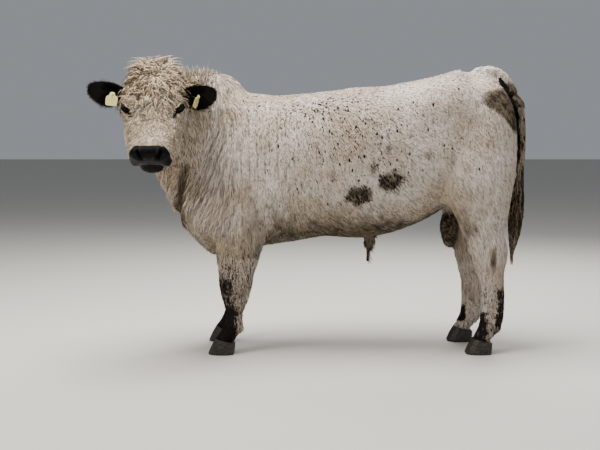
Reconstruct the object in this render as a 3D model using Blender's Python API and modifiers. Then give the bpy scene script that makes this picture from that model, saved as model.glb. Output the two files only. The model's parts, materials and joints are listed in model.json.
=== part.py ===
"""Speckle park bull, standing, head turned square to its left side. Life size, in metres.

Head towards -X, tail towards +X, the bull's left (near) side towards -Y, ground at z = 0.
The outline of flesh and coat is one smooth field: rounded bodies swept along the spine, neck and limbs, and one rounded
form for each large muscle or bone, all blended. A voxel mesh of those forms is drawn on to the field, thinned, and parted
with thin cuts into the sub-parts that have a name. Eyes, ears, ear tags, claws and the lower tail are solids of their own.
"""
import math

import bmesh
import bpy
import numpy as np
from mathutils import Matrix, Vector

OFFSET = np.array((-0.03262, 0.12987, 0.0))  # puts the middle of the whole box over the origin
GAP = 0.0003          # width of every parting cut
VOXEL = 0.018
BODY_FACES = 4300


# ---------------------------------------------------------------- rounded forms and how they blend
def smin(a, b, k):
    h = np.clip(0.5 + 0.5 * (b - a) / k, 0.0, 1.0)
    return b + (a - b) * h - k * h * (1.0 - h)


def smax(a, b, k):
    return -smin(-a, -b, k)


def unit(v):
    v = np.asarray(v, float)
    return v / np.maximum(np.linalg.norm(v, axis=-1, keepdims=True), 1e-12)


def spline(rows, sub):
    """Catmull-Rom rows through the stations."""
    rows = np.asarray(rows, float)
    ext = np.vstack([2 * rows[0] - rows[1], rows, 2 * rows[-1] - rows[-2]])
    out = []
    for i in range(len(rows) - 1):
        p0, p1, p2, p3 = ext[i:i + 4]
        for t in np.arange(sub) / sub:
            out.append(0.5 * (2 * p1 + (p2 - p0) * t + (2 * p0 - 5 * p1 + 4 * p2 - p3) * t * t
                              + (3 * p1 - p0 - 3 * p2 + p3) * t ** 3))
    out.append(rows[-1])
    return np.array(out)


def rot(axis, deg):
    c, s = math.cos(math.radians(deg)), math.sin(math.radians(deg))
    return {"x": np.array([[1, 0, 0], [0, c, -s], [0, s, c]]),
            "y": np.array([[c, 0, s], [0, 1, 0], [-s, 0, c]]),
            "z": np.array([[c, -s, 0], [s, c, 0], [0, 0, 1]])}[axis]


class Loft:
    """A rounded body along a spine. Stations: x, y, z, half width, height above and below the spine."""

    def __init__(self, stations, up=(0, 0, 1), caps=(1.0, 1.0), power=2.0, sub=4):
        rows = spline(stations, sub)
        self.c = rows[:, :3]
        self.r = np.maximum(rows[:, 3:6], 0.004)
        self.t = unit(np.gradient(self.c, axis=0))
        up = np.broadcast_to(np.asarray(up, float), self.t.shape)
        self.s = unit(np.cross(self.t, up))
        self.u = np.cross(self.s, self.t)
        self.caps, self.power = caps, power
        self.lo = (self.c - self.r.max(1)[:, None]).min(0)
        self.hi = (self.c + self.r.max(1)[:, None]).max(0)

    def __call__(self, p):
        off = np.maximum(np.maximum(self.lo - p, p - self.hi), 0)
        far = np.sqrt((off * off).sum(1))
        near = far < 0.16
        out = far + 0.02
        if near.any():
            out[near] = self.inside(p[near])
        return out

    def inside(self, p):
        best = np.full(len(p), 1e9)
        seg = np.zeros(len(p), int)
        par = np.zeros(len(p))
        last = len(self.c) - 2
        for i in range(last + 1):
            a, b = self.c[i], self.c[i + 1]
            f0 = (p - a) @ self.t[i]
            f1 = (p - b) @ self.t[i + 1]
            t = np.clip(f0 / np.where(np.abs(f0 - f1) > 1e-9, f0 - f1, 1e-9), 0, 1)
            if i == 0:
                t = np.where(f0 < 0, 0.0, t)
            if i == last:
                t = np.where(f1 > 0, 1.0, t)
            v = p - a - t[:, None] * (b - a)
            q = np.einsum("ij,ij->i", v, v)
            q = np.where(((f0 < 0) & (i > 0)) | ((f1 > 0) & (i < last)), q + 1e3, q)
            m = q < best
            best[m], seg[m], par[m] = q[m], i, t[m]
        f = par[:, None]
        mix = lambda arr: arr[seg] * (1 - f) + arr[seg + 1] * f
        c, r = mix(self.c), mix(self.r)
        tt, ss, uu = unit(mix(self.t)), unit(mix(self.s)), unit(mix(self.u))
        v = p - c
        s = np.einsum("ij,ij->i", v, ss)
        u = np.einsum("ij,ij->i", v, uu)
        h = np.einsum("ij,ij->i", v, tt)
        h = np.where(((seg == 0) & (par <= 0)) | ((seg == last) & (par >= 1)), h, 0.0)
        ru = np.where(u > 0, r[:, 1], r[:, 2])
        cap = np.where(h < 0, self.caps[0], self.caps[1]) * np.minimum(r[:, 0], (r[:, 1] + r[:, 2]) / 2)
        n = self.power
        q = ((np.abs(s) / r[:, 0]) ** n + (np.abs(u) / ru) ** n) ** (1 / n)
        q = np.sqrt(q * q + (h / np.maximum(cap, 0.004)) ** 2)
        size = np.linalg.norm(v, axis=1)
        lim = r.min(1)
        return np.where(q > 1e-6, np.maximum(size * (1 - 1 / np.maximum(q, 1e-6)), -lim), -lim)


class Ball:
    """An ellipsoid with its own turn: one muscle, bone or pad."""

    def __init__(self, centre, radii, turn=None, power=2.0):
        self.c, self.r, self.power = np.array(centre, float), np.array(radii, float), power
        self.m = np.eye(3) if turn is None else turn

    def __call__(self, p):
        v = (p - self.c) @ self.m
        n = self.power
        q = (np.abs(v / self.r) ** n).sum(1) ** (1 / n)
        size = np.linalg.norm(v, axis=1)
        return np.where(q > 1e-6, np.maximum(size * (1 - 1 / np.maximum(q, 1e-6)), -self.r.min()), -self.r.min())


# ---------------------------------------------------------------- body stations
TRUNK = [  # x, top of the back, belly line, half width
    (-0.50, 1.10, 0.64, 0.165),
    (-0.40, 1.180, 0.54, 0.225),
    (-0.28, 1.228, 0.485, 0.262),
    (-0.12, 1.218, 0.505, 0.288),
    (0.06, 1.230, 0.535, 0.315),
    (0.26, 1.255, 0.530, 0.325),
    (0.42, 1.273, 0.578, 0.312),
    (0.56, 1.294, 0.656, 0.290),
    (0.70, 1.320, 0.725, 0.265),
    (0.82, 1.352, 0.76, 0.240),
    (0.905, 1.335, 0.84, 0.190),
    (0.958, 1.235, 0.95, 0.110),
]
NECK = [
    (-0.24, 0.00, 0.92, 0.215, 0.240, 0.38),
    (-0.36, -0.02, 0.95, 0.208, 0.248, 0.42),
    (-0.47, -0.07, 1.00, 0.190, 0.330, 0.38),
    (-0.56, -0.15, 1.06, 0.168, 0.300, 0.29),
    (-0.63, -0.22, 1.12, 0.150, 0.225, 0.22),
    (-0.675, -0.28, 1.17, 0.128, 0.160, 0.17),
]
DEWLAP = [
    (-0.625, -0.27, 0.870, 0.045, 0.060, 0.050),
    (-0.595, -0.17, 0.760, 0.040, 0.080, 0.050),
    (-0.550, -0.09, 0.650, 0.045, 0.080, 0.050),
    (-0.490, -0.03, 0.560, 0.060, 0.080, 0.055),
    (-0.415, 0.00, 0.500, 0.080, 0.080, 0.060),
    (-0.320, 0.00, 0.490, 0.095, 0.080, 0.050),
]
FORE = [  # x, y, z, half width, front, back, from the elbow to the pastern
    (-0.330, 0.165, 0.86, 0.080, 0.120, 0.110),
    (-0.325, 0.182, 0.70, 0.088, 0.130, 0.125),
    (-0.308, 0.190, 0.56, 0.082, 0.114, 0.117),
    (-0.315, 0.188, 0.46, 0.070, 0.111, 0.104),
    (-0.322, 0.183, 0.385, 0.061, 0.094, 0.085),
    (-0.327, 0.178, 0.318, 0.060, 0.083, 0.077),
    (-0.331, 0.176, 0.255, 0.047, 0.065, 0.062),
    (-0.336, 0.175, 0.190, 0.039, 0.044, 0.042),
    (-0.343, 0.175, 0.138, 0.047, 0.043, 0.050),
    (-0.367, 0.175, 0.090, 0.043, 0.040, 0.042),
    (-0.388, 0.175, 0.060, 0.047, 0.042, 0.045),
]
HIND = [  # from the thigh to the pastern
    (0.820, 0.150, 1.00, 0.090, 0.130, 0.130),
    (0.805, 0.180, 0.82, 0.100, 0.145, 0.150),
    (0.815, 0.188, 0.66, 0.083, 0.125, 0.135),
    (0.825, 0.182, 0.56, 0.066, 0.100, 0.106),
    (0.848, 0.176, 0.485, 0.058, 0.090, 0.102),
    (0.853, 0.172, 0.435, 0.057, 0.080, 0.092),
    (0.858, 0.170, 0.375, 0.052, 0.064, 0.074),
    (0.866, 0.170, 0.305, 0.045, 0.055, 0.066),
    (0.870, 0.170, 0.215, 0.041, 0.054, 0.062),
    (0.863, 0.170, 0.145, 0.048, 0.052, 0.058),
    (0.834, 0.170, 0.092, 0.043, 0.040, 0.044),
    (0.818, 0.170, 0.060, 0.047, 0.042, 0.045),
]
OFF_FORE_SHIFT = -0.022   # the far forefoot stands a little in front of the near one
OFF_HIND_SHIFT = -0.045   # and so does the far hind foot
TAIL_HEAD = [  # the root of the tail, which is part of the rump
    (0.820, 0.0, 1.318, 0.036, 0.036, 0.034),
    (0.885, 0.0, 1.321, 0.035, 0.036, 0.035),
    (0.930, 0.0, 1.302, 0.034, 0.034, 0.034),
    (0.966, 0.0, 1.258, 0.033, 0.033, 0.033),
    (0.992, 0.0, 1.204, 0.031, 0.031, 0.031),
    (1.010, 0.0, 1.150, 0.029, 0.029, 0.029),
]
TAIL = [  # x, y, z, radius, from the root cut down to the tip
    (0.9990, 0.0, 1.184, 0.0300),
    (1.0135, 0.0, 1.128, 0.0290),
    (1.0240, 0.0, 1.047, 0.0265),
    (1.0270, 0.0, 0.950, 0.0235),
    (1.0225, -0.005, 0.850, 0.0205),
    (1.017, -0.007, 0.780, 0.0240),
    (1.012, -0.008, 0.700, 0.0315),
    (1.006, -0.010, 0.620, 0.0345),
    (0.999, -0.010, 0.540, 0.0260),
    (0.992, -0.010, 0.480, 0.0130),
    (0.989, -0.010, 0.455, 0.0050),
]
TAIL_SPLITS = (0.0, 2.6, 5.0, 10.0)   # stations where the dock, the middle and the switch begin, and the tip
CLEFT = [  # the hollow between the buttocks that the tail hangs in
    (1.034, 0.0, 1.200, 0.030, 0.050, 0.050),
    (1.036, 0.0, 1.140, 0.038, 0.080, 0.080),
    (1.038, 0.0, 1.050, 0.042, 0.090, 0.090),
    (1.038, 0.0, 0.900, 0.044, 0.088, 0.088),
    (1.034, 0.0, 0.740, 0.042, 0.080, 0.080),
    (1.025, 0.0, 0.600, 0.030, 0.060, 0.060),
]

# ---------------------------------------------------------------- head, in its own frame: side, along the face, outwards from the brow
POLL = np.array((-0.682, -0.290, 1.298))
TILT, YAW = math.radians(45.0), math.radians(0.7)
FORWARD = np.array((math.sin(YAW), -math.cos(YAW), 0.0))
DOWN = np.array((0.0, 0.0, -1.0))
ALONG = math.cos(TILT) * FORWARD + math.sin(TILT) * DOWN
DORSAL = math.sin(TILT) * FORWARD - math.cos(TILT) * DOWN
SIDE = np.cross(DORSAL, ALONG)
HEAD_M = np.stack([SIDE, ALONG, DORSAL], 1)

SKULL = [  # along, height, half width, top, bottom
    (-0.020, -0.060, 0.100, 0.060, 0.080),
    (0.030, -0.060, 0.132, 0.072, 0.090),
    (0.100, -0.062, 0.144, 0.074, 0.100),
    (0.170, -0.065, 0.141, 0.064, 0.100),
    (0.240, -0.068, 0.129, 0.054, 0.095),
    (0.310, -0.070, 0.114, 0.048, 0.085),
    (0.365, -0.072, 0.102, 0.046, 0.070),
    (0.405, -0.080, 0.091, 0.046, 0.060),
]
JAW = [
    (0.020, -0.165, 0.105, 0.10, 0.075),
    (0.090, -0.175, 0.130, 0.10, 0.078),
    (0.170, -0.172, 0.137, 0.09, 0.070),
    (0.260, -0.162, 0.125, 0.06, 0.055),
    (0.330, -0.156, 0.094, 0.05, 0.042),
    (0.390, -0.154, 0.060, 0.04, 0.036),
]
EYE = np.array((0.1135, 0.188, -0.0275))      # centre of the near-side globe in the head's frame
EYE_RADIUS = 0.021
EYE_OUT = unit(np.array((0.78, 0.36, 0.44)))


def to_head(p):
    return (p - POLL) @ HEAD_M


def from_head(q):
    return np.asarray(q, float) @ HEAD_M.T + POLL


def both(q):
    m = q.copy()
    m[:, 0] = np.abs(m[:, 0])
    return m


def head_loft(rows, **k):
    return Loft([(0, l, h, w, t, b) for l, h, w, t, b in rows], **k)


SKULL_BODY = head_loft(SKULL, power=2.4, caps=(0.8, 0.5))
JAW_BODY = head_loft(JAW, power=2.3, caps=(0.6, 0.6))
HEAD_PADS = [  # centre, half sizes, turn, power, blend, on both sides
    ((0.106, 0.166, -0.044), (0.035, 0.056, 0.044), None, 2.0, 0.035, True),      # brow over the eye
    ((0.0, 0.410, -0.080), (0.097, 0.048, 0.060), rot("x", -14), 3.0, 0.020, False),  # muzzle
    ((0.066, 0.408, -0.122), (0.028, 0.034, 0.036), None, 2.4, 0.016, True),      # hanging side of the upper lip
    ((0.0, 0.402, -0.166), (0.056, 0.040, 0.036), None, 2.3, 0.016, False),       # lower lip and chin
    ((0.0, 0.020, -0.020), (0.130, 0.085, 0.068), None, 2.2, 0.050, False),       # shock of curls on the poll
]


def head_field(p):
    q = to_head(p)
    m = both(q)
    f = smin(SKULL_BODY(q), JAW_BODY(q), 0.05)
    for centre, radii, turn, power, k, mirrored in HEAD_PADS:
        f = smin(f, Ball(centre, radii, turn, power)(m if mirrored else q), k)
    socket = Ball(EYE + EYE_OUT * 0.034, (0.024, 0.026, 0.018))(m)
    return smax(f, -socket, 0.014)


def mirrored(p):
    m = p.copy()
    m[:, 1] = -np.abs(m[:, 1])
    return m


def leg_rows(stations, side, shift=None):
    return [(x + (shift(z) if shift else 0.0), y * side, z, w, f, b) for x, y, z, w, f, b in stations]


def trunk_rows():
    rows = []
    for x, top, low, half in TRUNK:
        mid = low + 0.47 * (top - low)
        rows.append((x, 0, mid, half, top - mid, mid - low))
    return rows


LEG = dict(up=(-1, 0, 0), caps=(0.5, 0.5), power=2.1, sub=4)
BODIES = {
    "trunk": Loft(trunk_rows(), caps=(0.5, 0.35), power=2.35, sub=5),
    "neck": Loft(NECK, caps=(0.3, 0.5), power=2.15, sub=6),
    "dewlap": Loft(DEWLAP, caps=(0.8, 0.8), sub=4),
    "tail_head": Loft(TAIL_HEAD, up=(1, 0, 0.3), sub=4),
    "cleft": Loft(CLEFT, up=(1, 0, 0.1), sub=4),
    "fore_left": Loft(leg_rows(FORE, -1), **LEG),
    "fore_right": Loft(leg_rows(FORE, 1, lambda z: OFF_FORE_SHIFT), **LEG),
    "hind_left": Loft(leg_rows(HIND, -1), **LEG),
    "hind_right": Loft(leg_rows(HIND, 1, lambda z: OFF_HIND_SHIFT * min(1, (0.9 - z) / 0.5)), **LEG),
}
MUSCLES = [  # centre, half sizes, turn, blend; each on both sides
    ((-0.34, -0.170, 0.88), (0.150, 0.115, 0.330), rot("y", -14), 0.08),   # shoulder blade
    ((-0.42, -0.175, 0.71), (0.125, 0.100, 0.170), rot("y", 20), 0.07),    # point of the shoulder
    ((0.84, -0.145, 0.96), (0.143, 0.125, 0.310), rot("y", 5), 0.08),      # thigh
    ((0.879, -0.130, 0.86), (0.085, 0.100, 0.270), rot("y", 3), 0.05),     # back of the thigh
    ((0.735, -0.195, 0.80), (0.090, 0.070, 0.180), rot("y", -18), 0.10),   # stifle
    ((0.66, -0.175, 1.17), (0.110, 0.065, 0.090), None, 0.14),             # hook bone
]
HANGING = [  # centre, half sizes, turn, blend
    ((0.688, 0.0, 0.575), (0.045, 0.052, 0.098), rot("y", -4), 0.016),     # scrotum
    ((0.688, 0.0, 0.678), (0.032, 0.034, 0.072), None, 0.024),             # its neck
    ((0.305, 0.0, 0.512), (0.036, 0.030, 0.044), rot("y", 12), 0.030),     # sheath
    ((0.298, 0.0, 0.450), (0.015, 0.014, 0.048), rot("y", 4), 0.016),      # tuft of hair at its mouth
]
DEWCLAW = (0.016, 0.015, 0.019)
FEET = {  # x of the pastern over the foot, y, dewclaw x, z of the fetlock
    "fore_left": (-0.388, -0.175, -0.302, 0.118),
    "fore_right": (-0.388 + OFF_FORE_SHIFT, 0.175, -0.302 + OFF_FORE_SHIFT, 0.118),
    "hind_left": (0.818, -0.170, 0.902, 0.122),
    "hind_right": (0.818 + OFF_HIND_SHIFT, 0.170, 0.902 + OFF_HIND_SHIFT, 0.122),
}


def body_field(p):
    m = mirrored(p)
    f = smin(BODIES["trunk"](p), BODIES["neck"](p), 0.09)
    for centre, radii, turn, k in MUSCLES[:2]:
        f = smin(f, Ball(centre, radii, turn)(m), k)
    f = smin(f, BODIES["dewlap"](p), 0.06)
    for name in ("fore_left", "fore_right"):
        f = smin(f, BODIES[name](p), 0.07)
    for centre, radii, turn, k in MUSCLES[2:]:
        f = smin(f, Ball(centre, radii, turn)(m), k)
    for name in ("hind_left", "hind_right"):
        f = smin(f, BODIES[name](p), 0.06)
    f = smax(f, -BODIES["cleft"](p), 0.05)
    for centre, radii, turn, k in HANGING:
        f = smin(f, Ball(centre, radii, turn)(p), k)
    for x, y, dx, z in FEET.values():
        for side in (-1, 1):
            f = smin(f, Ball((dx, y + side * 0.024, z), DEWCLAW)(p), 0.012)
    return smin(f, BODIES["tail_head"](p), 0.030)


def field(p):
    return smin(body_field(p), head_field(p), 0.05)


def gradient(p, e=0.002):
    g = np.empty_like(p)
    for k in range(3):
        d = np.zeros(3)
        d[k] = e
        g[:, k] = (field(p + d) - field(p - d)) / (2 * e)
    return g


# ---------------------------------------------------------------- scene, collections, materials
for ob in list(bpy.data.objects):
    bpy.data.objects.remove(ob, do_unlink=True)
PARTS = bpy.data.collections.new("speckle_park_bull")
CUTTERS = bpy.data.collections.new("cutters")
for coll in (PARTS, CUTTERS):
    bpy.context.scene.collection.children.link(coll)


def material(name, colour, rough):
    m = bpy.data.materials.new(name)
    m.use_nodes = True
    b = m.node_tree.nodes["Principled BSDF"]
    b.inputs["Base Color"].default_value = (*colour, 1.0)
    b.inputs["Roughness"].default_value = rough
    return m


COLOURS = {"coat": ((0.62, 0.56, 0.48), 0.85), "dark": ((0.03, 0.027, 0.025), 0.75), "claw": ((0.05, 0.042, 0.036), 0.45),
           "eye": ((0.012, 0.008, 0.006), 0.08), "tag": ((0.80, 0.76, 0.46), 0.45), "hide": ((0.16, 0.12, 0.11), 0.6)}


def put(name, mesh, kind, coll=PARTS):
    ob = bpy.data.objects.new(name, mesh)
    coll.objects.link(ob)
    if coll is CUTTERS:
        ob.hide_render = True
        ob.display_type = "WIRE"
    else:
        mesh.materials.clear()
        mesh.materials.append(material(name, *COLOURS[kind]))
        mesh.polygons.foreach_set("use_smooth", [True] * len(mesh.polygons))
    return ob


def evaluated(ob):
    graph = bpy.context.evaluated_depsgraph_get()
    graph.update()
    return bpy.data.meshes.new_from_object(ob.evaluated_get(graph))


def with_modifier(mesh, kind, **settings):
    """The mesh after one modifier."""
    ob = put("work", mesh, None, CUTTERS)
    mod = ob.modifiers.new(kind, kind)
    for key, value in settings.items():
        setattr(mod, key, value)
    out = evaluated(ob)
    bpy.data.objects.remove(ob, do_unlink=True)
    return out


def boolean(mesh, cutter, operation="DIFFERENCE"):
    """The mesh after one exact cut; where the cut loses a piece, it is made again with overlaps in the mesh resolved."""
    tool = put("cutter", cutter, None, CUTTERS)
    before = size_of(mesh)
    out = with_modifier(mesh.copy(), "BOOLEAN", operation=operation, solver="EXACT", object=tool)
    if size_of(out) < 0.6 * before:
        print("CUT AGAIN", before, size_of(out))
        out = with_modifier(mesh, "BOOLEAN", operation=operation, solver="EXACT", object=tool, use_self=True)
    bpy.data.objects.remove(tool, do_unlink=True)
    return out


def crossing(mesh):
    """How many faces of the mesh run through each other."""
    from mathutils.bvhtree import BVHTree
    tree = BVHTree.FromPolygons([v.co[:] for v in mesh.vertices], [p.vertices[:] for p in mesh.polygons])
    faces = [set(p.vertices) for p in mesh.polygons]
    return sum(1 for a, b in tree.overlap(tree) if a < b and not faces[a] & faces[b])


def size_of(mesh):
    bm = bmesh.new()
    bm.from_mesh(mesh)
    volume = bm.calc_volume()
    bm.free()
    return volume


def from_bm(bm, name):
    mesh = bpy.data.meshes.new(name)
    bm.normal_update()
    bm.to_mesh(mesh)
    bm.free()
    return mesh


def coords(mesh):
    a = np.empty(len(mesh.vertices) * 3)
    mesh.vertices.foreach_get("co", a)
    return a.reshape(-1, 3)


def place(mesh, p):
    mesh.vertices.foreach_set("co", np.ascontiguousarray(p, dtype=np.float32).ravel())
    mesh.update()


def box_matrix(centre, x_axis, z_axis, size):
    z = Vector(z_axis).normalized()
    x = Vector(x_axis) - z * z.dot(Vector(x_axis))
    x.normalize()
    y = z.cross(x)
    m = Matrix((x, y, z)).transposed().to_4x4()
    m.translation = Vector(centre)
    return m @ Matrix.Diagonal((*size, 1.0))


# ---------------------------------------------------------------- the whole flesh as one mesh
def rough_forms():
    """Spheres along every spine and at every muscle, which the voxel mesh joins."""
    bm = bmesh.new()

    def ball(centre, axes, radii):
        m = Matrix([Vector(a) for a in axes]).transposed().to_4x4()
        m.translation = Vector(centre)
        bmesh.ops.create_icosphere(bm, subdivisions=2, radius=1.0, matrix=m @ Matrix.Diagonal((*radii, 1.0)))

    def along(body, frame=None, shift=None):
        for c, r, t, s, u in zip(body.c, body.r, body.t, body.s, body.u):
            c = c + u * (r[1] - r[2]) / 2
            step = max(0.35 * r.min(), 0.02)
            axes = [s, u, t]
            if frame is not None:
                c, axes = from_head(c), [HEAD_M @ a for a in axes]
            ball(c, axes, (r[0] * 0.97, (r[1] + r[2]) / 2 * 0.97, step * 1.6))

    for name, body in BODIES.items():
        if name != "cleft":
            along(body)
    along(SKULL_BODY, "head")
    along(JAW_BODY, "head")
    for centre, radii, turn, k in MUSCLES:
        for side in (1, -1):
            turned = np.eye(3) if turn is None else turn
            ball((centre[0], centre[1] * side, centre[2]), turned.T, radii)
    for centre, radii, turn, k in HANGING:
        ball(centre, (np.eye(3) if turn is None else turn).T, radii)
    for centre, radii, turn, power, k, mirror in HEAD_PADS:
        for side in ((1, -1) if mirror else (1,)):
            turned = np.eye(3) if turn is None else turn
            ball(from_head((centre[0] * side, centre[1], centre[2])), (HEAD_M @ turned).T, radii)
    for x, y, dx, z in FEET.values():
        for side in (-1, 1):
            ball((dx, y + side * 0.024, z), np.eye(3), DEWCLAW)
    return from_bm(bm, "forms")


def neighbours(mesh):
    e = np.empty(len(mesh.edges) * 2, dtype=np.int64)
    mesh.edges.foreach_get("vertices", e)
    return e.reshape(-1, 2)


def relax(p, edges, amount, keep_normal):
    total = np.zeros_like(p)
    count = np.zeros(len(p))
    for a, b in ((0, 1), (1, 0)):
        np.add.at(total, edges[:, a], p[edges[:, b]])
        np.add.at(count, edges[:, a], 1)
    step = total / np.maximum(count, 1)[:, None] - p
    if keep_normal is not None:
        step -= keep_normal * np.einsum("ij,ij->i", step, keep_normal)[:, None]
    return p + step * amount


def drawn_on(mesh, rounds=7):
    """Vertices drawn on to the outline, with the mesh relaxed along it."""
    p = coords(mesh)
    edges = neighbours(mesh)
    for i in range(rounds):
        g = gradient(p, 0.004)
        n = unit(g)
        f = field(p)
        move = f / np.maximum(np.linalg.norm(g, axis=1), 0.3)
        p = p - n * np.clip(move, -0.03, 0.03)[:, None]
        if i < rounds - 2:
            p = relax(p, edges, 0.5, n)
    place(mesh, p)
    return mesh


flesh = with_modifier(rough_forms(), "REMESH", mode="VOXEL", voxel_size=VOXEL, use_smooth_shade=True)
flesh = drawn_on(flesh)
flesh = with_modifier(flesh, "REMESH", mode="VOXEL", voxel_size=VOXEL * 0.7, use_smooth_shade=True)
flesh = drawn_on(flesh, 2)
flesh = with_modifier(flesh, "TRIANGULATE")
flesh = with_modifier(flesh, "DECIMATE", ratio=BODY_FACES / len(flesh.polygons), use_collapse_triangulate=True)

# ---------------------------------------------------------------- thin parting cuts
LEVEL = ((1, 0, 0), (0, 0, 1))
SLABS = [  # centre, long axis, thin axis, sizes
    ((-0.415, 0.0, 0.90), (0, 1, 0), (0.955, 0, -0.296), (1.2, 1.5)),                 # neck from trunk
    ((-0.665, -0.275, 1.165), (0.94, -0.34, 0), (-0.32, -0.90, 0.295), (0.62, 0.56)),  # head from neck
    ((0.688, 0.0, 0.641), *LEVEL, (0.18, 0.15)),                                      # scrotum
    ((0.305, 0.0, 0.512), *LEVEL, (0.13, 0.12)),                                      # sheath
]
for side, fx, hx in ((-1, 0.0, 0.0), (1, OFF_FORE_SHIFT, OFF_HIND_SHIFT * 0.5)):
    SLABS += [
        ((-0.312 + fx, side * 0.195, 0.535), (1, 0, 0), (0, -side * math.sin(math.radians(34)), math.cos(math.radians(34))), (0.44, 0.30)),
        ((-0.327 + fx, side * 0.178, 0.318), *LEVEL, (0.24, 0.22)),                   # knee
        ((0.815 + hx, side * 0.190, 0.645), *LEVEL, (0.42, 0.25)),                    # stifle
        ((0.853 + OFF_HIND_SHIFT * (side > 0), side * 0.172, 0.415), *LEVEL, (0.26, 0.22)),  # hock
    ]


def slab(centre, x_axis, z_axis, size):
    bm = bmesh.new()
    bmesh.ops.create_cube(bm, size=1.0, matrix=box_matrix(centre, x_axis, z_axis, (*size, GAP)))
    return from_bm(bm, "slab")


FOOT_TILT = math.radians(14)
FOOT_Z = 0.066


def tube(points, name):
    """A round tapering length with flat ends."""
    curve = bpy.data.curves.new(name, "CURVE")
    curve.dimensions, curve.bevel_depth, curve.bevel_resolution, curve.use_fill_caps = "3D", 1.0, 4, True
    line = curve.splines.new("POLY")
    line.points.add(len(points) - 1)
    for point, (x, y, z, r) in zip(line.points, points):
        point.co, point.radius = (x, y, z, 1.0), r
    ob = bpy.data.objects.new(name, curve)
    CUTTERS.objects.link(ob)
    mesh = evaluated(ob)
    bpy.data.objects.remove(ob, do_unlink=True)
    bm = bmesh.new()
    bm.from_mesh(mesh)
    bmesh.ops.remove_doubles(bm, verts=bm.verts, dist=0.00005)
    bmesh.ops.recalc_face_normals(bm, faces=bm.faces)
    return from_bm(bm, name)


def tail_groove():
    """The hollow that the tail hangs in, from the flat face at its root down."""
    rows = spline(TAIL, 10)
    start = rows[0, :3]
    first = unit(np.array(TAIL[1][:3]) - start)
    points = [np.append(start + first * d, rows[0, 3] + 0.007) for d in (-GAP, 0.008)] + [rows[i] + (0, 0, 0, 0.007) for i in range(4, 60, 5)]
    return tube(points, "tail_groove")


def below_foot(foot):
    """The block under the sloping line of the coronet, where the claws are."""
    bm = bmesh.new()
    for x, y, dx, z in (FEET[foot],):
        n = (math.sin(FOOT_TILT), 0, math.cos(FOOT_TILT))
        c = np.array((x, y, FOOT_Z)) - np.array(n) * 0.1
        bmesh.ops.create_cube(bm, size=1.0, matrix=box_matrix(c, (1, 0, 0), n, (0.26, 0.16, 0.2)))
    return from_bm(bm, "below_foot")


def sphere_mesh(centres, radius, u=16, v=10, axis=None):
    bm = bmesh.new()
    for c in centres:
        m = Matrix.Translation(Vector(c))
        if axis is not None:
            m = m @ Vector(axis).to_track_quat("Z", "Y").to_matrix().to_4x4()
        bmesh.ops.create_uvsphere(bm, u_segments=u, v_segments=v, radius=radius, matrix=m)
    return from_bm(bm, "sphere")


EYES = {name: from_head(EYE * (side, 1, 1)) for name, side in (("eye_left", 1), ("eye_right", -1))}
EYE_AXES = {name: HEAD_M @ (EYE_OUT * (side, 1, 1)) for name, side in (("eye_left", 1), ("eye_right", -1))}
print("CROSSING FACES", crossing(flesh))
for row in SLABS:
    flesh = boolean(flesh, slab(*row))

SEEDS = {
    "trunk": (0.30, 0, 0.95), "neck": (-0.56, -0.10, 0.98), "head": (-0.68, -0.42, 1.15),
    "scrotum": (0.69, 0, 0.57), "sheath": (0.30, 0, 0.45),
}
for word, side in (("left", -1), ("right", 1)):
    SEEDS["foreleg_upper_" + word] = (-0.32, 0.19 * side, 0.43)
    SEEDS["foreleg_lower_" + word] = (-0.345, 0.18 * side, 0.19)
    SEEDS["hindleg_upper_" + word] = (0.82, 0.18 * side, 0.53)
    SEEDS["hindleg_lower_" + word] = (0.85, 0.17 * side, 0.24)


def islands(mesh):
    bm = bmesh.new()
    bm.from_mesh(mesh)
    left, out = set(bm.verts), []
    while left:
        seed = left.pop()
        group, stack = {seed}, [seed]
        while stack:
            for e in stack.pop().link_edges:
                for v in e.verts:
                    if v in left:
                        left.discard(v)
                        group.add(v)
                        stack.append(v)
        out.append(group)
    pieces = []
    for group in out:
        part = bmesh.new()
        made = {v: part.verts.new(v.co) for v in group}
        for f in bm.faces:
            if f.verts[0] in group:
                part.faces.new([made[v] for v in f.verts])
        bmesh.ops.dissolve_degenerate(part, dist=0.00005, edges=part.edges)
        bmesh.ops.triangulate(part, faces=[f for f in part.faces if len(f.verts) > 3])
        pieces.append((np.mean([v.co[:] for v in part.verts], axis=0), len(part.faces), from_bm(part, "piece")))
    bm.free()
    return pieces


found = [piece for piece in islands(flesh) if piece[1] > 8]
print("PIECES", [(piece[1], np.round(piece[0], 2).tolist()) for piece in found])
for name, seed in SEEDS.items():
    centre, count, mesh = min(found, key=lambda piece: np.linalg.norm(piece[0] - np.array(seed)))
    found = [piece for piece in found if piece[2] is not mesh]
    if np.linalg.norm(centre - np.array(seed)) > 0.2:
        print("FAR", name, np.round(centre, 3))
    if name == "head":
        for eye, middle in EYES.items():
            mesh = boolean(mesh, sphere_mesh([middle], EYE_RADIUS + GAP * 1.5, axis=EYE_AXES[eye]))
    if name == "trunk":
        mesh = boolean(mesh, tail_groove())
    if "lower" in name:
        mesh = boolean(mesh, below_foot(("fore_" if name.startswith("fore") else "hind_") + name.split("_")[-1]))
    mesh = max(islands(mesh), key=lambda piece: piece[1])[2]
    put(name, mesh, "hide" if name in ("scrotum", "sheath") else "coat")
    print("NODE", name, count, np.round(centre, 3))
print("LEFT OVER", [(piece[1], np.round(piece[0], 3)) for piece in found])

# ---------------------------------------------------------------- eyes
for name, side in (("eye_left", 1), ("eye_right", -1)):
    put(name, sphere_mesh([EYES[name]], EYE_RADIUS, axis=EYE_AXES[name]), "eye")

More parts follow.
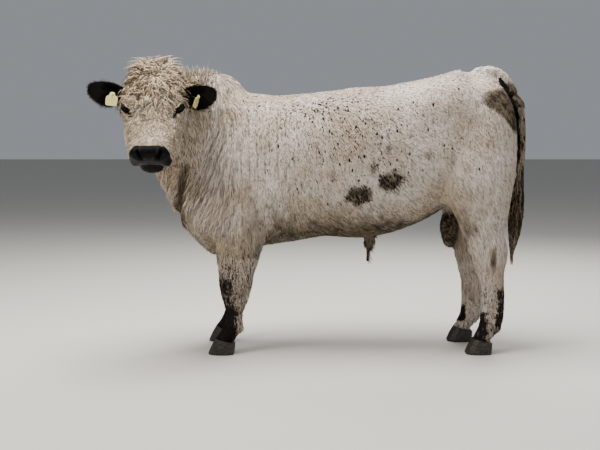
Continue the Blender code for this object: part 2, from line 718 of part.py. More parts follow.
# ---------------------------------------------------------------- hanging tail
def tail_lengths():
    """The dock, the middle and the switch, parted square across the tail."""
    rows = spline(TAIL, 10)
    start = rows[0, :3]
    first = unit(np.array(TAIL[1][:3]) - start)
    points = [np.append(start - first * 0.02, rows[0, 3])] + [rows[i] for i in list(range(0, 96, 4)) + [len(rows) - 1]]
    bm = bmesh.new()
    for station in TAIL_SPLITS[:-1]:
        i = int(round(station * 10))
        along = first if i == 0 else unit(rows[i + 1, :3] - rows[i - 1, :3])
        bmesh.ops.create_cube(bm, size=1.0, matrix=box_matrix(rows[i, :3], (0, 1, 0), along, (0.12, 0.12, GAP)))
    pieces = islands(boolean(tube(points, "tail"), from_bm(bm, "slabs")))
    return [piece[2] for piece in sorted(pieces, key=lambda piece: -piece[0][2])][1:]


for name, mesh in zip(("tail_dock", "tail_middle", "tail_switch"), tail_lengths()):
    put(name, mesh, "dark")
    print("NODE", name, np.round(coords(mesh).min(0), 3), np.round(coords(mesh).max(0), 3))

# ---------------------------------------------------------------- claws
CLAW_LENGTH, CLAW_WIDTH, CLAW_SPLIT = 0.118, 0.054, 0.005
CLAW_OUTLINE = [(1.0, 0.30), (0.82, 0.62), (0.45, 0.92), (0.0, 1.0), (-0.5, 0.97), (-0.86, 0.80), (-1.0, 0.48),
                (-0.90, 0.14), (-0.5, 0.03), (0.0, 0.0), (0.5, 0.02), (0.86, 0.10)]
CLAW_LEVELS = [  # height as a share of the coronet, length, width, move towards the heel
    (0.0, 1.00, 0.97, 0.0), (0.10, 1.015, 1.0, 0.0), (0.55, 0.90, 0.97, 0.010), (1.0, 0.76, 0.88, 0.019)]


def claw(x, y, side):
    bm = bmesh.new()
    rings = []
    for share, length, width, back in CLAW_LEVELS:
        ring = []
        for u, v in CLAW_OUTLINE:
            px = x - 0.010 - u * CLAW_LENGTH / 2 * length + back
            py = y + side * (CLAW_SPLIT / 2 + v * CLAW_WIDTH * width)
            top = FOOT_Z - GAP / math.cos(FOOT_TILT) - (px - x) * math.tan(FOOT_TILT)
            ring.append(bm.verts.new((px, py, top * share)))
        rings.append(ring)
    n = len(CLAW_OUTLINE)
    for a, b in zip(rings, rings[1:]):
        for i in range(n):
            bm.faces.new((a[i], a[(i + 1) % n], b[(i + 1) % n], b[i]))
    bm.faces.new(rings[0][::-1])
    bm.faces.new(rings[-1])
    bmesh.ops.recalc_face_normals(bm, faces=bm.faces)
    return from_bm(bm, "claw")


for foot, (x, y, dx, z) in FEET.items():
    for word, side in (("outer", 1 if y > 0 else -1), ("inner", -1 if y > 0 else 1)):
        ob = put(f"claw_{foot}_{word}", claw(x, y, side), "claw")
        for f in ob.data.polygons:
            f.use_smooth = abs(f.normal.z) < 0.9

# ---------------------------------------------------------------- ears
EARS = {  # root and tip in the world, opening direction, length of the widest part
    "ear_right": ((-0.815, -0.315, 1.205), (-0.985, -0.300, 1.235), (-0.10, -0.90, -0.32)),
    "ear_left": ((-0.560, -0.325, 1.195), (-0.405, -0.335, 1.215), (0.10, -0.88, -0.38)),
}
EAR_WIDTHS = [(0.0, 0.030), (0.14, 0.040), (0.30, 0.052), (0.48, 0.056), (0.66, 0.051), (0.82, 0.038), (0.93, 0.022), (1.0, 0.008)]
EAR_THICK = 0.010


def ear(root, tip, face):
    root, tip = np.array(root), np.array(tip)
    axis = unit(tip - root)
    face = unit(np.array(face) - axis * np.dot(face, axis))
    across = np.cross(axis, face)
    length = np.linalg.norm(tip - root)
    bm = bmesh.new()
    rings = []
    for t, w in EAR_WIDTHS:
        cup = 1.25 - 0.55 * t
        ring = []
        for layer, order in ((1, range(7)), (-1, range(6, -1, -1))):
            for i in order:
                a = (i / 3 - 1)
                edge = abs(a)
                bend = cup * a * 1.15
                thick = EAR_THICK * (1 - 0.6 * edge) * (1 - 0.4 * t)
                radius = w / max(math.sin(min(cup * 1.15, 1.5)), 0.5)
                p = (root + axis * length * t + across * math.sin(bend) * radius
                     + face * (radius * (1 - math.cos(bend)) - radius * 0.35 + layer * thick / 2))
                ring.append(bm.verts.new(p))
        rings.append(ring)
    n = len(rings[0])
    for a, b in zip(rings, rings[1:]):
        for i in range(n):
            bm.faces.new((a[i], a[(i + 1) % n], b[(i + 1) % n], b[i]))
    bm.faces.new(rings[0][::-1])
    bm.faces.new(rings[-1])
    bmesh.ops.recalc_face_normals(bm, faces=bm.faces)
    bmesh.ops.triangulate(bm, faces=bm.faces)
    return from_bm(bm, "ear")


def grown(name):
    """A node's surface moved out by more than a parting gap, which trims what is set against it."""
    mesh = PARTS.objects[name].data.copy()
    n = np.empty(len(mesh.vertices) * 3)
    mesh.vertices.foreach_get("normal", n)
    place(mesh, coords(mesh) + n.reshape(-1, 3) * 0.0012)
    return mesh


for name, (root, tip, face) in EARS.items():
    mesh = boolean(boolean(ear(root, tip, face), grown("head")), grown("neck"))
    best = max(islands(mesh), key=lambda piece: piece[1])
    put(name, best[2], "dark")

# ---------------------------------------------------------------- ear tags
TAGS = {  # centre, upward edge, outward face
    "tag_right": ((-0.868, -0.366, 1.187), (0.12, 0.0, 1.0), (-0.18, -0.96, 0.10)),
    "tag_left": ((-0.490, -0.366, 1.176), (0.66, 0.06, 0.76), (0.92, -0.24, -0.31)),
}
TAG_SIZE = (0.058, 0.062, 0.0022)
for name, (centre, up, face) in TAGS.items():
    bm = bmesh.new()
    z = Vector(face).normalized()
    x = Vector(up).cross(z).normalized()
    made = bmesh.ops.create_cube(bm, size=1.0, matrix=box_matrix(centre, x, z, TAG_SIZE))
    corners = [e for e in bm.edges if abs((e.verts[0].co - e.verts[1].co).length - TAG_SIZE[2]) < 1e-5]
    bmesh.ops.bevel(bm, geom=corners, offset=0.010, segments=3, affect="EDGES", profile=0.5)
    stud = Vector(centre) + z.cross(x) * TAG_SIZE[1] * 0.36
    put(name, from_bm(bm, name), "tag")

# ---------------------------------------------------------------- middle of the box over the origin, and what was made
for ob in PARTS.objects:
    place(ob.data, coords(ob.data) + OFFSET)
low = np.min([coords(ob.data).min(0) for ob in PARTS.objects], axis=0)
high = np.max([coords(ob.data).max(0) for ob in PARTS.objects], axis=0)
total = sum(len(p.vertices) - 2 for ob in PARTS.objects for p in ob.data.polygons)
print("BOX", np.round(low, 4), np.round(high, 4), "MIDDLE", np.round((low + high) / 2, 5), "TRIANGLES", total)
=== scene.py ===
"""Speckle park bull: skin, coat, eyes, claws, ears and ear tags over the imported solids.

Everything is worked out in the animal's own frame (head towards -X, near side towards -Y, ground at z = 0) and moved by
OFFSET at the end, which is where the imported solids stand.
"""

import math
import random

import bmesh
import bpy
import numpy as np
from mathutils import Matrix, Vector
from mathutils.kdtree import KDTree
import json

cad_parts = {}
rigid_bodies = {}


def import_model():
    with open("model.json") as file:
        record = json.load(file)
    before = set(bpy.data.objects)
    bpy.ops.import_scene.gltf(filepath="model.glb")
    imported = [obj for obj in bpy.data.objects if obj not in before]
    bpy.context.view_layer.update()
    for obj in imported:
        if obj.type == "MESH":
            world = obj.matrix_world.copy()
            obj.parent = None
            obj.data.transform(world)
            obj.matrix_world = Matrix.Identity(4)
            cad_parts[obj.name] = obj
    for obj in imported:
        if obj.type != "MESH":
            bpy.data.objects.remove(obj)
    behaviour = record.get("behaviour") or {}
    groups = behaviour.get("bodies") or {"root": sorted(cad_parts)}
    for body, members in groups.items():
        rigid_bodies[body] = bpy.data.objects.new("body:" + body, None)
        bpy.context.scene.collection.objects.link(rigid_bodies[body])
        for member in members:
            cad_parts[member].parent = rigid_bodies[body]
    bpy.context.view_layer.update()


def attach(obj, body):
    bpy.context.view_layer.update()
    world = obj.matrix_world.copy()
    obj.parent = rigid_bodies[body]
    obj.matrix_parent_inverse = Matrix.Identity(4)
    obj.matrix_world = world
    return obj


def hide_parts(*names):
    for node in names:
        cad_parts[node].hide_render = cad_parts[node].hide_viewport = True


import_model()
OFFSET = np.array((-0.03262, 0.12987, 0.0))
VOXEL = 0.0196


# ---------------------------------------------------------------- rounded forms and how they blend
def smin(a, b, k):
    h = np.clip(0.5 + 0.5 * (b - a) / k, 0.0, 1.0)
    return b + (a - b) * h - k * h * (1.0 - h)


def smax(a, b, k):
    return -smin(-a, -b, k)


def unit(v):
    v = np.asarray(v, float)
    return v / np.maximum(np.linalg.norm(v, axis=-1, keepdims=True), 1e-12)


def spline(rows, sub):
    """Catmull-Rom rows through the stations."""
    rows = np.asarray(rows, float)
    ext = np.vstack([2 * rows[0] - rows[1], rows, 2 * rows[-1] - rows[-2]])
    out = []
    for i in range(len(rows) - 1):
        p0, p1, p2, p3 = ext[i:i + 4]
        for t in np.arange(sub) / sub:
            out.append(0.5 * (2 * p1 + (p2 - p0) * t + (2 * p0 - 5 * p1 + 4 * p2 - p3) * t * t
                              + (3 * p1 - p0 - 3 * p2 + p3) * t ** 3))
    out.append(rows[-1])
    return np.array(out)


def rot(axis, deg):
    c, s = math.cos(math.radians(deg)), math.sin(math.radians(deg))
    return {"x": np.array([[1, 0, 0], [0, c, -s], [0, s, c]]),
            "y": np.array([[c, 0, s], [0, 1, 0], [-s, 0, c]]),
            "z": np.array([[c, -s, 0], [s, c, 0], [0, 0, 1]])}[axis]


class Loft:
    """A rounded body along a spine. Stations: x, y, z, half width, height above and below the spine."""

    def __init__(self, stations, up=(0, 0, 1), caps=(1.0, 1.0), power=2.0, sub=4):
        rows = spline(stations, sub)
        self.c = rows[:, :3]
        self.r = np.maximum(rows[:, 3:6], 0.004)
        self.t = unit(np.gradient(self.c, axis=0))
        up = np.broadcast_to(np.asarray(up, float), self.t.shape)
        self.s = unit(np.cross(self.t, up))
        self.u = np.cross(self.s, self.t)
        self.caps, self.power = caps, power
        self.lo = (self.c - self.r.max(1)[:, None]).min(0)
        self.hi = (self.c + self.r.max(1)[:, None]).max(0)

    def __call__(self, p):
        off = np.maximum(np.maximum(self.lo - p, p - self.hi), 0)
        far = np.sqrt((off * off).sum(1))
        near = far < 0.16
        out = far + 0.02
        if near.any():
            out[near] = self.inside(p[near])
        return out

    def inside(self, p):
        best = np.full(len(p), 1e9)
        seg = np.zeros(len(p), int)
        par = np.zeros(len(p))
        last = len(self.c) - 2
        for i in range(last + 1):
            a, b = self.c[i], self.c[i + 1]
            f0 = (p - a) @ self.t[i]
            f1 = (p - b) @ self.t[i + 1]
            t = np.clip(f0 / np.where(np.abs(f0 - f1) > 1e-9, f0 - f1, 1e-9), 0, 1)
            if i == 0:
                t = np.where(f0 < 0, 0.0, t)
            if i == last:
                t = np.where(f1 > 0, 1.0, t)
            v = p - a - t[:, None] * (b - a)
            q = np.einsum("ij,ij->i", v, v)
            q = np.where(((f0 < 0) & (i > 0)) | ((f1 > 0) & (i < last)), q + 1e3, q)
            m = q < best
            best[m], seg[m], par[m] = q[m], i, t[m]
        f = par[:, None]
        mix = lambda arr: arr[seg] * (1 - f) + arr[seg + 1] * f
        c, r = mix(self.c), mix(self.r)
        tt, ss, uu = unit(mix(self.t)), unit(mix(self.s)), unit(mix(self.u))
        v = p - c
        s = np.einsum("ij,ij->i", v, ss)
        u = np.einsum("ij,ij->i", v, uu)
        h = np.einsum("ij,ij->i", v, tt)
        h = np.where(((seg == 0) & (par <= 0)) | ((seg == last) & (par >= 1)), h, 0.0)
        ru = np.where(u > 0, r[:, 1], r[:, 2])
        cap = np.where(h < 0, self.caps[0], self.caps[1]) * np.minimum(r[:, 0], (r[:, 1] + r[:, 2]) / 2)
        n = self.power
        q = ((np.abs(s) / r[:, 0]) ** n + (np.abs(u) / ru) ** n) ** (1 / n)
        q = np.sqrt(q * q + (h / np.maximum(cap, 0.004)) ** 2)
        size = np.linalg.norm(v, axis=1)
        lim = r.min(1)
        return np.where(q > 1e-6, np.maximum(size * (1 - 1 / np.maximum(q, 1e-6)), -lim), -lim)


class Ball:
    """An ellipsoid with its own turn: one muscle, bone or pad."""

    def __init__(self, centre, radii, turn=None, power=2.0):
        self.c, self.r, self.power = np.array(centre, float), np.array(radii, float), power
        self.m = np.eye(3) if turn is None else turn

    def __call__(self, p):
        v = (p - self.c) @ self.m
        n = self.power
        q = (np.abs(v / self.r) ** n).sum(1) ** (1 / n)
        size = np.linalg.norm(v, axis=1)
        return np.where(q > 1e-6, np.maximum(size * (1 - 1 / np.maximum(q, 1e-6)), -self.r.min()), -self.r.min())


# ---------------------------------------------------------------- body stations
TRUNK = [  # x, top of the back, belly line, half width
    (-0.50, 1.10, 0.64, 0.165),
    (-0.40, 1.180, 0.54, 0.225),
    (-0.28, 1.228, 0.485, 0.262),
    (-0.12, 1.218, 0.505, 0.288),
    (0.06, 1.230, 0.535, 0.315),
    (0.26, 1.255, 0.530, 0.325),
    (0.42, 1.273, 0.578, 0.312),
    (0.56, 1.294, 0.656, 0.290),
    (0.70, 1.320, 0.725, 0.265),
    (0.82, 1.352, 0.76, 0.240),
    (0.905, 1.335, 0.84, 0.190),
    (0.958, 1.235, 0.95, 0.110),
]
NECK = [
    (-0.24, 0.00, 0.92, 0.215, 0.240, 0.38),
    (-0.36, -0.02, 0.95, 0.208, 0.248, 0.42),
    (-0.47, -0.07, 1.00, 0.190, 0.330, 0.38),
    (-0.56, -0.15, 1.06, 0.168, 0.300, 0.29),
    (-0.63, -0.22, 1.12, 0.150, 0.225, 0.22),
    (-0.675, -0.28, 1.17, 0.128, 0.160, 0.17),
]
DEWLAP = [
    (-0.625, -0.27, 0.870, 0.045, 0.060, 0.050),
    (-0.595, -0.17, 0.760, 0.040, 0.080, 0.050),
    (-0.550, -0.09, 0.650, 0.045, 0.080, 0.050),
    (-0.490, -0.03, 0.560, 0.060, 0.080, 0.055),
    (-0.415, 0.00, 0.500, 0.080, 0.080, 0.060),
    (-0.320, 0.00, 0.490, 0.095, 0.080, 0.050),
]
FORE = [  # x, y, z, half width, front, back, from the elbow to the pastern
    (-0.330, 0.165, 0.86, 0.080, 0.120, 0.110),
    (-0.325, 0.182, 0.70, 0.088, 0.130, 0.125),
    (-0.308, 0.190, 0.56, 0.082, 0.114, 0.117),
    (-0.315, 0.188, 0.46, 0.070, 0.111, 0.104),
    (-0.322, 0.183, 0.385, 0.061, 0.094, 0.085),
    (-0.327, 0.178, 0.318, 0.060, 0.083, 0.077),
    (-0.331, 0.176, 0.255, 0.047, 0.065, 0.062),
    (-0.336, 0.175, 0.190, 0.039, 0.044, 0.042),
    (-0.343, 0.175, 0.138, 0.047, 0.043, 0.050),
    (-0.367, 0.175, 0.090, 0.043, 0.040, 0.042),
    (-0.388, 0.175, 0.060, 0.047, 0.042, 0.045),
]
HIND = [  # from the thigh to the pastern
    (0.820, 0.150, 1.00, 0.090, 0.130, 0.130),
    (0.805, 0.180, 0.82, 0.100, 0.145, 0.150),
    (0.815, 0.188, 0.66, 0.083, 0.125, 0.135),
    (0.825, 0.182, 0.56, 0.066, 0.100, 0.106),
    (0.848, 0.176, 0.485, 0.058, 0.090, 0.102),
    (0.853, 0.172, 0.435, 0.057, 0.080, 0.092),
    (0.858, 0.170, 0.375, 0.052, 0.064, 0.074),
    (0.866, 0.170, 0.305, 0.045, 0.055, 0.066),
    (0.870, 0.170, 0.215, 0.041, 0.054, 0.062),
    (0.863, 0.170, 0.145, 0.048, 0.052, 0.058),
    (0.834, 0.170, 0.092, 0.043, 0.040, 0.044),
    (0.818, 0.170, 0.060, 0.047, 0.042, 0.045),
]
OFF_FORE_SHIFT = -0.022   # the far forefoot stands a little in front of the near one
OFF_HIND_SHIFT = -0.045   # and so does the far hind foot
TAIL_HEAD = [  # the root of the tail, which is part of the rump
    (0.820, 0.0, 1.318, 0.036, 0.036, 0.034),
    (0.885, 0.0, 1.321, 0.035, 0.036, 0.035),
    (0.930, 0.0, 1.302, 0.034, 0.034, 0.034),
    (0.966, 0.0, 1.258, 0.033, 0.033, 0.033),
    (0.992, 0.0, 1.204, 0.031, 0.031, 0.031),
    (1.010, 0.0, 1.150, 0.029, 0.029, 0.029),
]
TAIL = [  # x, y, z, radius, from the root cut down to the tip
    (0.9990, 0.0, 1.184, 0.0300),
    (1.0135, 0.0, 1.128, 0.0290),
    (1.0240, 0.0, 1.047, 0.0265),
    (1.0270, 0.0, 0.950, 0.0235),
    (1.0225, -0.005, 0.850, 0.0205),
    (1.017, -0.007, 0.780, 0.0240),
    (1.012, -0.008, 0.700, 0.0315),
    (1.006, -0.010, 0.620, 0.0345),
    (0.999, -0.010, 0.540, 0.0260),
    (0.992, -0.010, 0.480, 0.0130),
    (0.989, -0.010, 0.455, 0.0050),
]
TAIL_SPLITS = (0.0, 2.6, 5.0, 10.0)   # stations where the dock, the middle and the switch begin, and the tip
CLEFT = [  # the hollow between the buttocks that the tail hangs in
    (1.034, 0.0, 1.200, 0.030, 0.050, 0.050),
    (1.036, 0.0, 1.140, 0.038, 0.080, 0.080),
    (1.038, 0.0, 1.050, 0.042, 0.090, 0.090),
    (1.038, 0.0, 0.900, 0.044, 0.088, 0.088),
    (1.034, 0.0, 0.740, 0.042, 0.080, 0.080),
    (1.025, 0.0, 0.600, 0.030, 0.060, 0.060),
]

# ---------------------------------------------------------------- head, in its own frame: side, along the face, outwards from the brow
POLL = np.array((-0.682, -0.290, 1.298))
TILT, YAW = math.radians(45.0), math.radians(0.7)
FORWARD = np.array((math.sin(YAW), -math.cos(YAW), 0.0))
DOWN = np.array((0.0, 0.0, -1.0))
ALONG = math.cos(TILT) * FORWARD + math.sin(TILT) * DOWN
DORSAL = math.sin(TILT) * FORWARD - math.cos(TILT) * DOWN
SIDE = np.cross(DORSAL, ALONG)
HEAD_M = np.stack([SIDE, ALONG, DORSAL], 1)

SKULL = [  # along, height, half width, top, bottom
    (-0.020, -0.060, 0.100, 0.060, 0.080),
    (0.030, -0.060, 0.132, 0.072, 0.090),
    (0.100, -0.062, 0.144, 0.074, 0.100),
    (0.170, -0.065, 0.141, 0.064, 0.100),
    (0.240, -0.068, 0.129, 0.054, 0.095),
    (0.310, -0.070, 0.114, 0.048, 0.085),
    (0.365, -0.072, 0.102, 0.046, 0.070),
    (0.405, -0.080, 0.091, 0.046, 0.060),
]
JAW = [
    (0.020, -0.165, 0.105, 0.10, 0.075),
    (0.090, -0.175, 0.130, 0.10, 0.078),
    (0.170, -0.172, 0.137, 0.09, 0.070),
    (0.260, -0.162, 0.125, 0.06, 0.055),
    (0.330, -0.156, 0.094, 0.05, 0.042),
    (0.390, -0.154, 0.060, 0.04, 0.036),
]
EYE = np.array((0.1135, 0.188, -0.0275))      # centre of the near-side globe in the head's frame
EYE_RADIUS = 0.021
EYE_OUT = unit(np.array((0.78, 0.36, 0.44)))


def to_head(p):
    return (p - POLL) @ HEAD_M


def from_head(q):
    return np.asarray(q, float) @ HEAD_M.T + POLL


def both(q):
    m = q.copy()
    m[:, 0] = np.abs(m[:, 0])
    return m


def head_loft(rows, **k):
    return Loft([(0, l, h, w, t, b) for l, h, w, t, b in rows], **k)


SKULL_BODY = head_loft(SKULL, power=2.4, caps=(0.8, 0.5))
JAW_BODY = head_loft(JAW, power=2.3, caps=(0.6, 0.6))
HEAD_PADS = [  # centre, half sizes, turn, power, blend, on both sides
    ((0.106, 0.166, -0.044), (0.035, 0.056, 0.044), None, 2.0, 0.035, True),      # brow over the eye
    ((0.0, 0.410, -0.080), (0.097, 0.048, 0.060), rot("x", -14), 3.0, 0.020, False),  # muzzle
    ((0.066, 0.408, -0.122), (0.028, 0.034, 0.036), None, 2.4, 0.016, True),      # hanging side of the upper lip
    ((0.0, 0.402, -0.166), (0.056, 0.040, 0.036), None, 2.3, 0.016, False),       # lower lip and chin
    ((0.0, 0.020, -0.020), (0.130, 0.085, 0.068), None, 2.2, 0.050, False),       # shock of curls on the poll
]


def head_field(p):
    q = to_head(p)
    m = both(q)
    f = smin(SKULL_BODY(q), JAW_BODY(q), 0.05)
    for centre, radii, turn, power, k, mirrored in HEAD_PADS:
        f = smin(f, Ball(centre, radii, turn, power)(m if mirrored else q), k)
    socket = Ball(EYE + EYE_OUT * 0.034, (0.024, 0.026, 0.018))(m)
    return smax(f, -socket, 0.014)


def mirrored(p):
    m = p.copy()
    m[:, 1] = -np.abs(m[:, 1])
    return m


def leg_rows(stations, side, shift=None):
    return [(x + (shift(z) if shift else 0.0), y * side, z, w, f, b) for x, y, z, w, f, b in stations]


def trunk_rows():
    rows = []
    for x, top, low, half in TRUNK:
        mid = low + 0.47 * (top - low)
        rows.append((x, 0, mid, half, top - mid, mid - low))
    return rows


LEG = dict(up=(-1, 0, 0), caps=(0.5, 0.5), power=2.1, sub=4)
BODIES = {
    "trunk": Loft(trunk_rows(), caps=(0.5, 0.35), power=2.35, sub=5),
    "neck": Loft(NECK, caps=(0.3, 0.5), power=2.15, sub=6),
    "dewlap": Loft(DEWLAP, caps=(0.8, 0.8), sub=4),
    "tail_head": Loft(TAIL_HEAD, up=(1, 0, 0.3), sub=4),
    "cleft": Loft(CLEFT, up=(1, 0, 0.1), sub=4),
    "fore_left": Loft(leg_rows(FORE, -1), **LEG),
    "fore_right": Loft(leg_rows(FORE, 1, lambda z: OFF_FORE_SHIFT), **LEG),
    "hind_left": Loft(leg_rows(HIND, -1), **LEG),
    "hind_right": Loft(leg_rows(HIND, 1, lambda z: OFF_HIND_SHIFT * min(1, (0.9 - z) / 0.5)), **LEG),
}
MUSCLES = [  # centre, half sizes, turn, blend; each on both sides
    ((-0.34, -0.170, 0.88), (0.150, 0.115, 0.330), rot("y", -14), 0.08),   # shoulder blade
    ((-0.42, -0.175, 0.71), (0.125, 0.100, 0.170), rot("y", 20), 0.07),    # point of the shoulder
    ((0.84, -0.145, 0.96), (0.143, 0.125, 0.310), rot("y", 5), 0.08),      # thigh
    ((0.879, -0.130, 0.86), (0.085, 0.100, 0.270), rot("y", 3), 0.05),     # back of the thigh
    ((0.735, -0.195, 0.80), (0.090, 0.070, 0.180), rot("y", -18), 0.10),   # stifle
    ((0.66, -0.175, 1.17), (0.110, 0.065, 0.090), None, 0.14),             # hook bone
]
HANGING = [  # centre, half sizes, turn, blend
    ((0.688, 0.0, 0.575), (0.045, 0.052, 0.098), rot("y", -4), 0.016),     # scrotum
    ((0.688, 0.0, 0.678), (0.032, 0.034, 0.072), None, 0.024),             # its neck
    ((0.305, 0.0, 0.512), (0.036, 0.030, 0.044), rot("y", 12), 0.030),     # sheath
    ((0.298, 0.0, 0.450), (0.015, 0.014, 0.048), rot("y", 4), 0.016),      # tuft of hair at its mouth
]
DEWCLAW = (0.016, 0.015, 0.019)
FEET = {  # x of the pastern over the foot, y, dewclaw x, z of the fetlock
    "fore_left": (-0.388, -0.175, -0.302, 0.118),
    "fore_right": (-0.388 + OFF_FORE_SHIFT, 0.175, -0.302 + OFF_FORE_SHIFT, 0.118),
    "hind_left": (0.818, -0.170, 0.902, 0.122),
    "hind_right": (0.818 + OFF_HIND_SHIFT, 0.170, 0.902 + OFF_HIND_SHIFT, 0.122),
}


def body_field(p):
    m = mirrored(p)
    f = smin(BODIES["trunk"](p), BODIES["neck"](p), 0.09)
    for centre, radii, turn, k in MUSCLES[:2]:
        f = smin(f, Ball(centre, radii, turn)(m), k)
    f = smin(f, BODIES["dewlap"](p), 0.06)
    for name in ("fore_left", "fore_right"):
        f = smin(f, BODIES[name](p), 0.07)
    for centre, radii, turn, k in MUSCLES[2:]:
        f = smin(f, Ball(centre, radii, turn)(m), k)
    for name in ("hind_left", "hind_right"):
        f = smin(f, BODIES[name](p), 0.06)
    f = smax(f, -BODIES["cleft"](p), 0.05)
    for centre, radii, turn, k in HANGING:
        f = smin(f, Ball(centre, radii, turn)(p), k)
    for x, y, dx, z in FEET.values():
        for side in (-1, 1):
            f = smin(f, Ball((dx, y + side * 0.024, z), DEWCLAW)(p), 0.012)
    return smin(f, BODIES["tail_head"](p), 0.030)


def field(p):
    return smin(body_field(p), head_field(p), 0.05)


def gradient(p, e=0.002):
    g = np.empty_like(p)
    for k in range(3):
        d = np.zeros(3)
        d[k] = e
        g[:, k] = (field(p + d) - field(p - d)) / (2 * e)
    return g


# ---------------------------------------------------------------- ears and ear tags
EARS = {  # root and tip in the world, opening direction, length of the widest part
    "ear_right": ((-0.815, -0.315, 1.205), (-0.985, -0.300, 1.235), (-0.10, -0.90, -0.32)),
    "ear_left": ((-0.560, -0.325, 1.195), (-0.405, -0.335, 1.215), (0.10, -0.88, -0.38)),
}
TAGS = {  # centre, upward edge, outward face
    "tag_right": ((-0.868, -0.366, 1.187), (0.12, 0.0, 1.0), (-0.18, -0.96, 0.10)),
    "tag_left": ((-0.490, -0.366, 1.176), (0.66, 0.06, 0.76), (0.92, -0.24, -0.31)),
}
TAG_SIZE = (0.058, 0.062, 0.0022)


# ---------------------------------------------------------------- coat depth, and what the skin has that the outline hasn't
def step(x, a, b):
    t = np.clip((x - a) / (b - a), 0.0, 1.0)
    return t * t * (3 - 2 * t)


def bell(x, centre, width):
    return np.exp(-((x - centre) / width) ** 2)


def head_weight(p):
    """1 on the head, 0 on the neck and body."""
    q = to_head(p)
    box = step(q[:, 1], -0.10, -0.02) * step(-q[:, 1], -0.62, -0.56) * step(q[:, 2], -0.33, -0.27) * step(0.23 - np.abs(q[:, 0]), 0.0, 0.05)
    # behind the jaw the cheek gives way to the throat
    return box * step(q[:, 1] * 0.9 + q[:, 2] * 0.55, -0.09, -0.01)


def coat_depth(p, hw):
    q = to_head(p)
    x, z = p[:, 0], p[:, 2]
    d = 0.008 + 0.009 * step(-x, 0.10, 0.35) * step(z, 0.55, 0.75) * (1 - 0.6 * step(z, 1.18, 1.26))   # longer on the neck
    d = np.where(z < 0.50, 0.008 - 0.004 * step(0.50 - z, 0.0, 0.25), d)            # legs
    hang = step(0.060 - np.hypot(x - 0.688, p[:, 1]), 0.0, 0.02) * step(0.67 - z, 0.0, 0.03)
    d = d * (1 - 0.8 * hang)
    poll = step(0.115 - q[:, 1], 0.0, 0.10) * step(q[:, 2], -0.13, -0.05)
    face = 0.0038 + 0.026 * poll
    muzzle = step(q[:, 1], 0.33, 0.40)
    face = face * (1 - muzzle) + 0.0025 * muzzle
    return d * (1 - hw) + face * hw


TAIL_C = spline(np.array([s[:3] for s in TAIL], dtype=float), 8)
TAIL_R = spline(np.array([[s[3]] for s in TAIL], dtype=float), 8)[:, 0]


def tail_bed(p):
    """Under nought inside the trough of the rump that the hanging tail lies in."""
    out = np.full(len(p), 0.2)
    near = (p[:, 0] > 0.88) & (np.abs(p[:, 1]) < 0.14) & (p[:, 2] > 0.40)
    if near.any():
        q = p[near]
        d = np.full(len(q), 0.2)
        for c, r in zip(TAIL_C[::2], TAIL_R[::2]):
            d = np.minimum(d, np.linalg.norm(q - c, axis=1) - r - 0.004)
        out[near] = d
    return out


def skin_field(p):
    f = field(p) + coat_depth(p, head_weight(p))
    return smax(f, -tail_bed(p), 0.016)


def streaks(p, d, size, seed):
    """Smooth noise drawn out along the lie of the hair, from 0 to 1."""
    rng = np.random.default_rng(seed)
    flat = p - 0.86 * d * np.einsum("ij,ij->i", p, d)[:, None]
    v = np.zeros(len(p))
    for octave in range(3):
        for _ in range(5):
            k = unit(rng.normal(0, 1, 3)) * 2 * math.pi / (size / 1.7 ** octave)
            v += np.sin(flat @ k + rng.random() * 6.28) * 0.62 ** octave
    return 1 / (1 + np.exp(-1.1 * v))


def skin_gradient(p, f0, e=0.003):
    g = np.empty_like(p)
    for k in range(3):
        d = np.zeros(3)
        d[k] = e
        g[:, k] = (skin_field(p + d) - f0) / e
    return g


# ---------------------------------------------------------------- scene helpers
WORK = bpy.data.collections.new("working")
BULL = bpy.data.collections.new("bull")
for coll in (WORK, BULL):
    bpy.context.scene.collection.children.link(coll)


def put(name, mesh, coll=None):
    ob = bpy.data.objects.new(name, mesh)
    (coll or BULL).objects.link(ob)
    return ob


def with_modifier(mesh, kind, **settings):
    ob = put("work", mesh, WORK)
    mod = ob.modifiers.new(kind, kind)
    for key, value in settings.items():
        setattr(mod, key, value)
    graph = bpy.context.evaluated_depsgraph_get()
    graph.update()
    out = bpy.data.meshes.new_from_object(ob.evaluated_get(graph))
    bpy.data.objects.remove(ob, do_unlink=True)
    return out


def from_bm(bm, name):
    mesh = bpy.data.meshes.new(name)
    bm.normal_update()
    bm.to_mesh(mesh)
    bm.free()
    return mesh


def coords(mesh):
    a = np.empty(len(mesh.vertices) * 3, dtype=np.float32)
    mesh.vertices.foreach_get("co", a)
    return a.reshape(-1, 3).astype(float)


def normals(mesh):
    a = np.empty(len(mesh.vertices) * 3, dtype=np.float32)
    mesh.vertices.foreach_get("normal", a)
    return a.reshape(-1, 3).astype(float)


def place(mesh, p):
    mesh.vertices.foreach_set("co", np.ascontiguousarray(p, dtype=np.float32).ravel())
    mesh.update()


def edge_ends(mesh):
    e = np.empty(len(mesh.edges) * 2, dtype=np.int64)
    mesh.edges.foreach_get("vertices", e)
    return e.reshape(-1, 2)


def relax(p, edges, amount, n=None, weight=None):
    total = np.zeros_like(p)
    count = np.bincount(edges.ravel(), minlength=len(p)).astype(float)
    for k in range(3):
        total[:, k] = np.bincount(edges[:, 0], p[edges[:, 1], k], len(p)) + np.bincount(edges[:, 1], p[edges[:, 0], k], len(p))
    move = total / np.maximum(count, 1)[:, None] - p
    if n is not None:
        move -= n * np.einsum("ij,ij->i", move, n)[:, None]
    if weight is not None:
        move *= weight[:, None]
    return p + move * amount


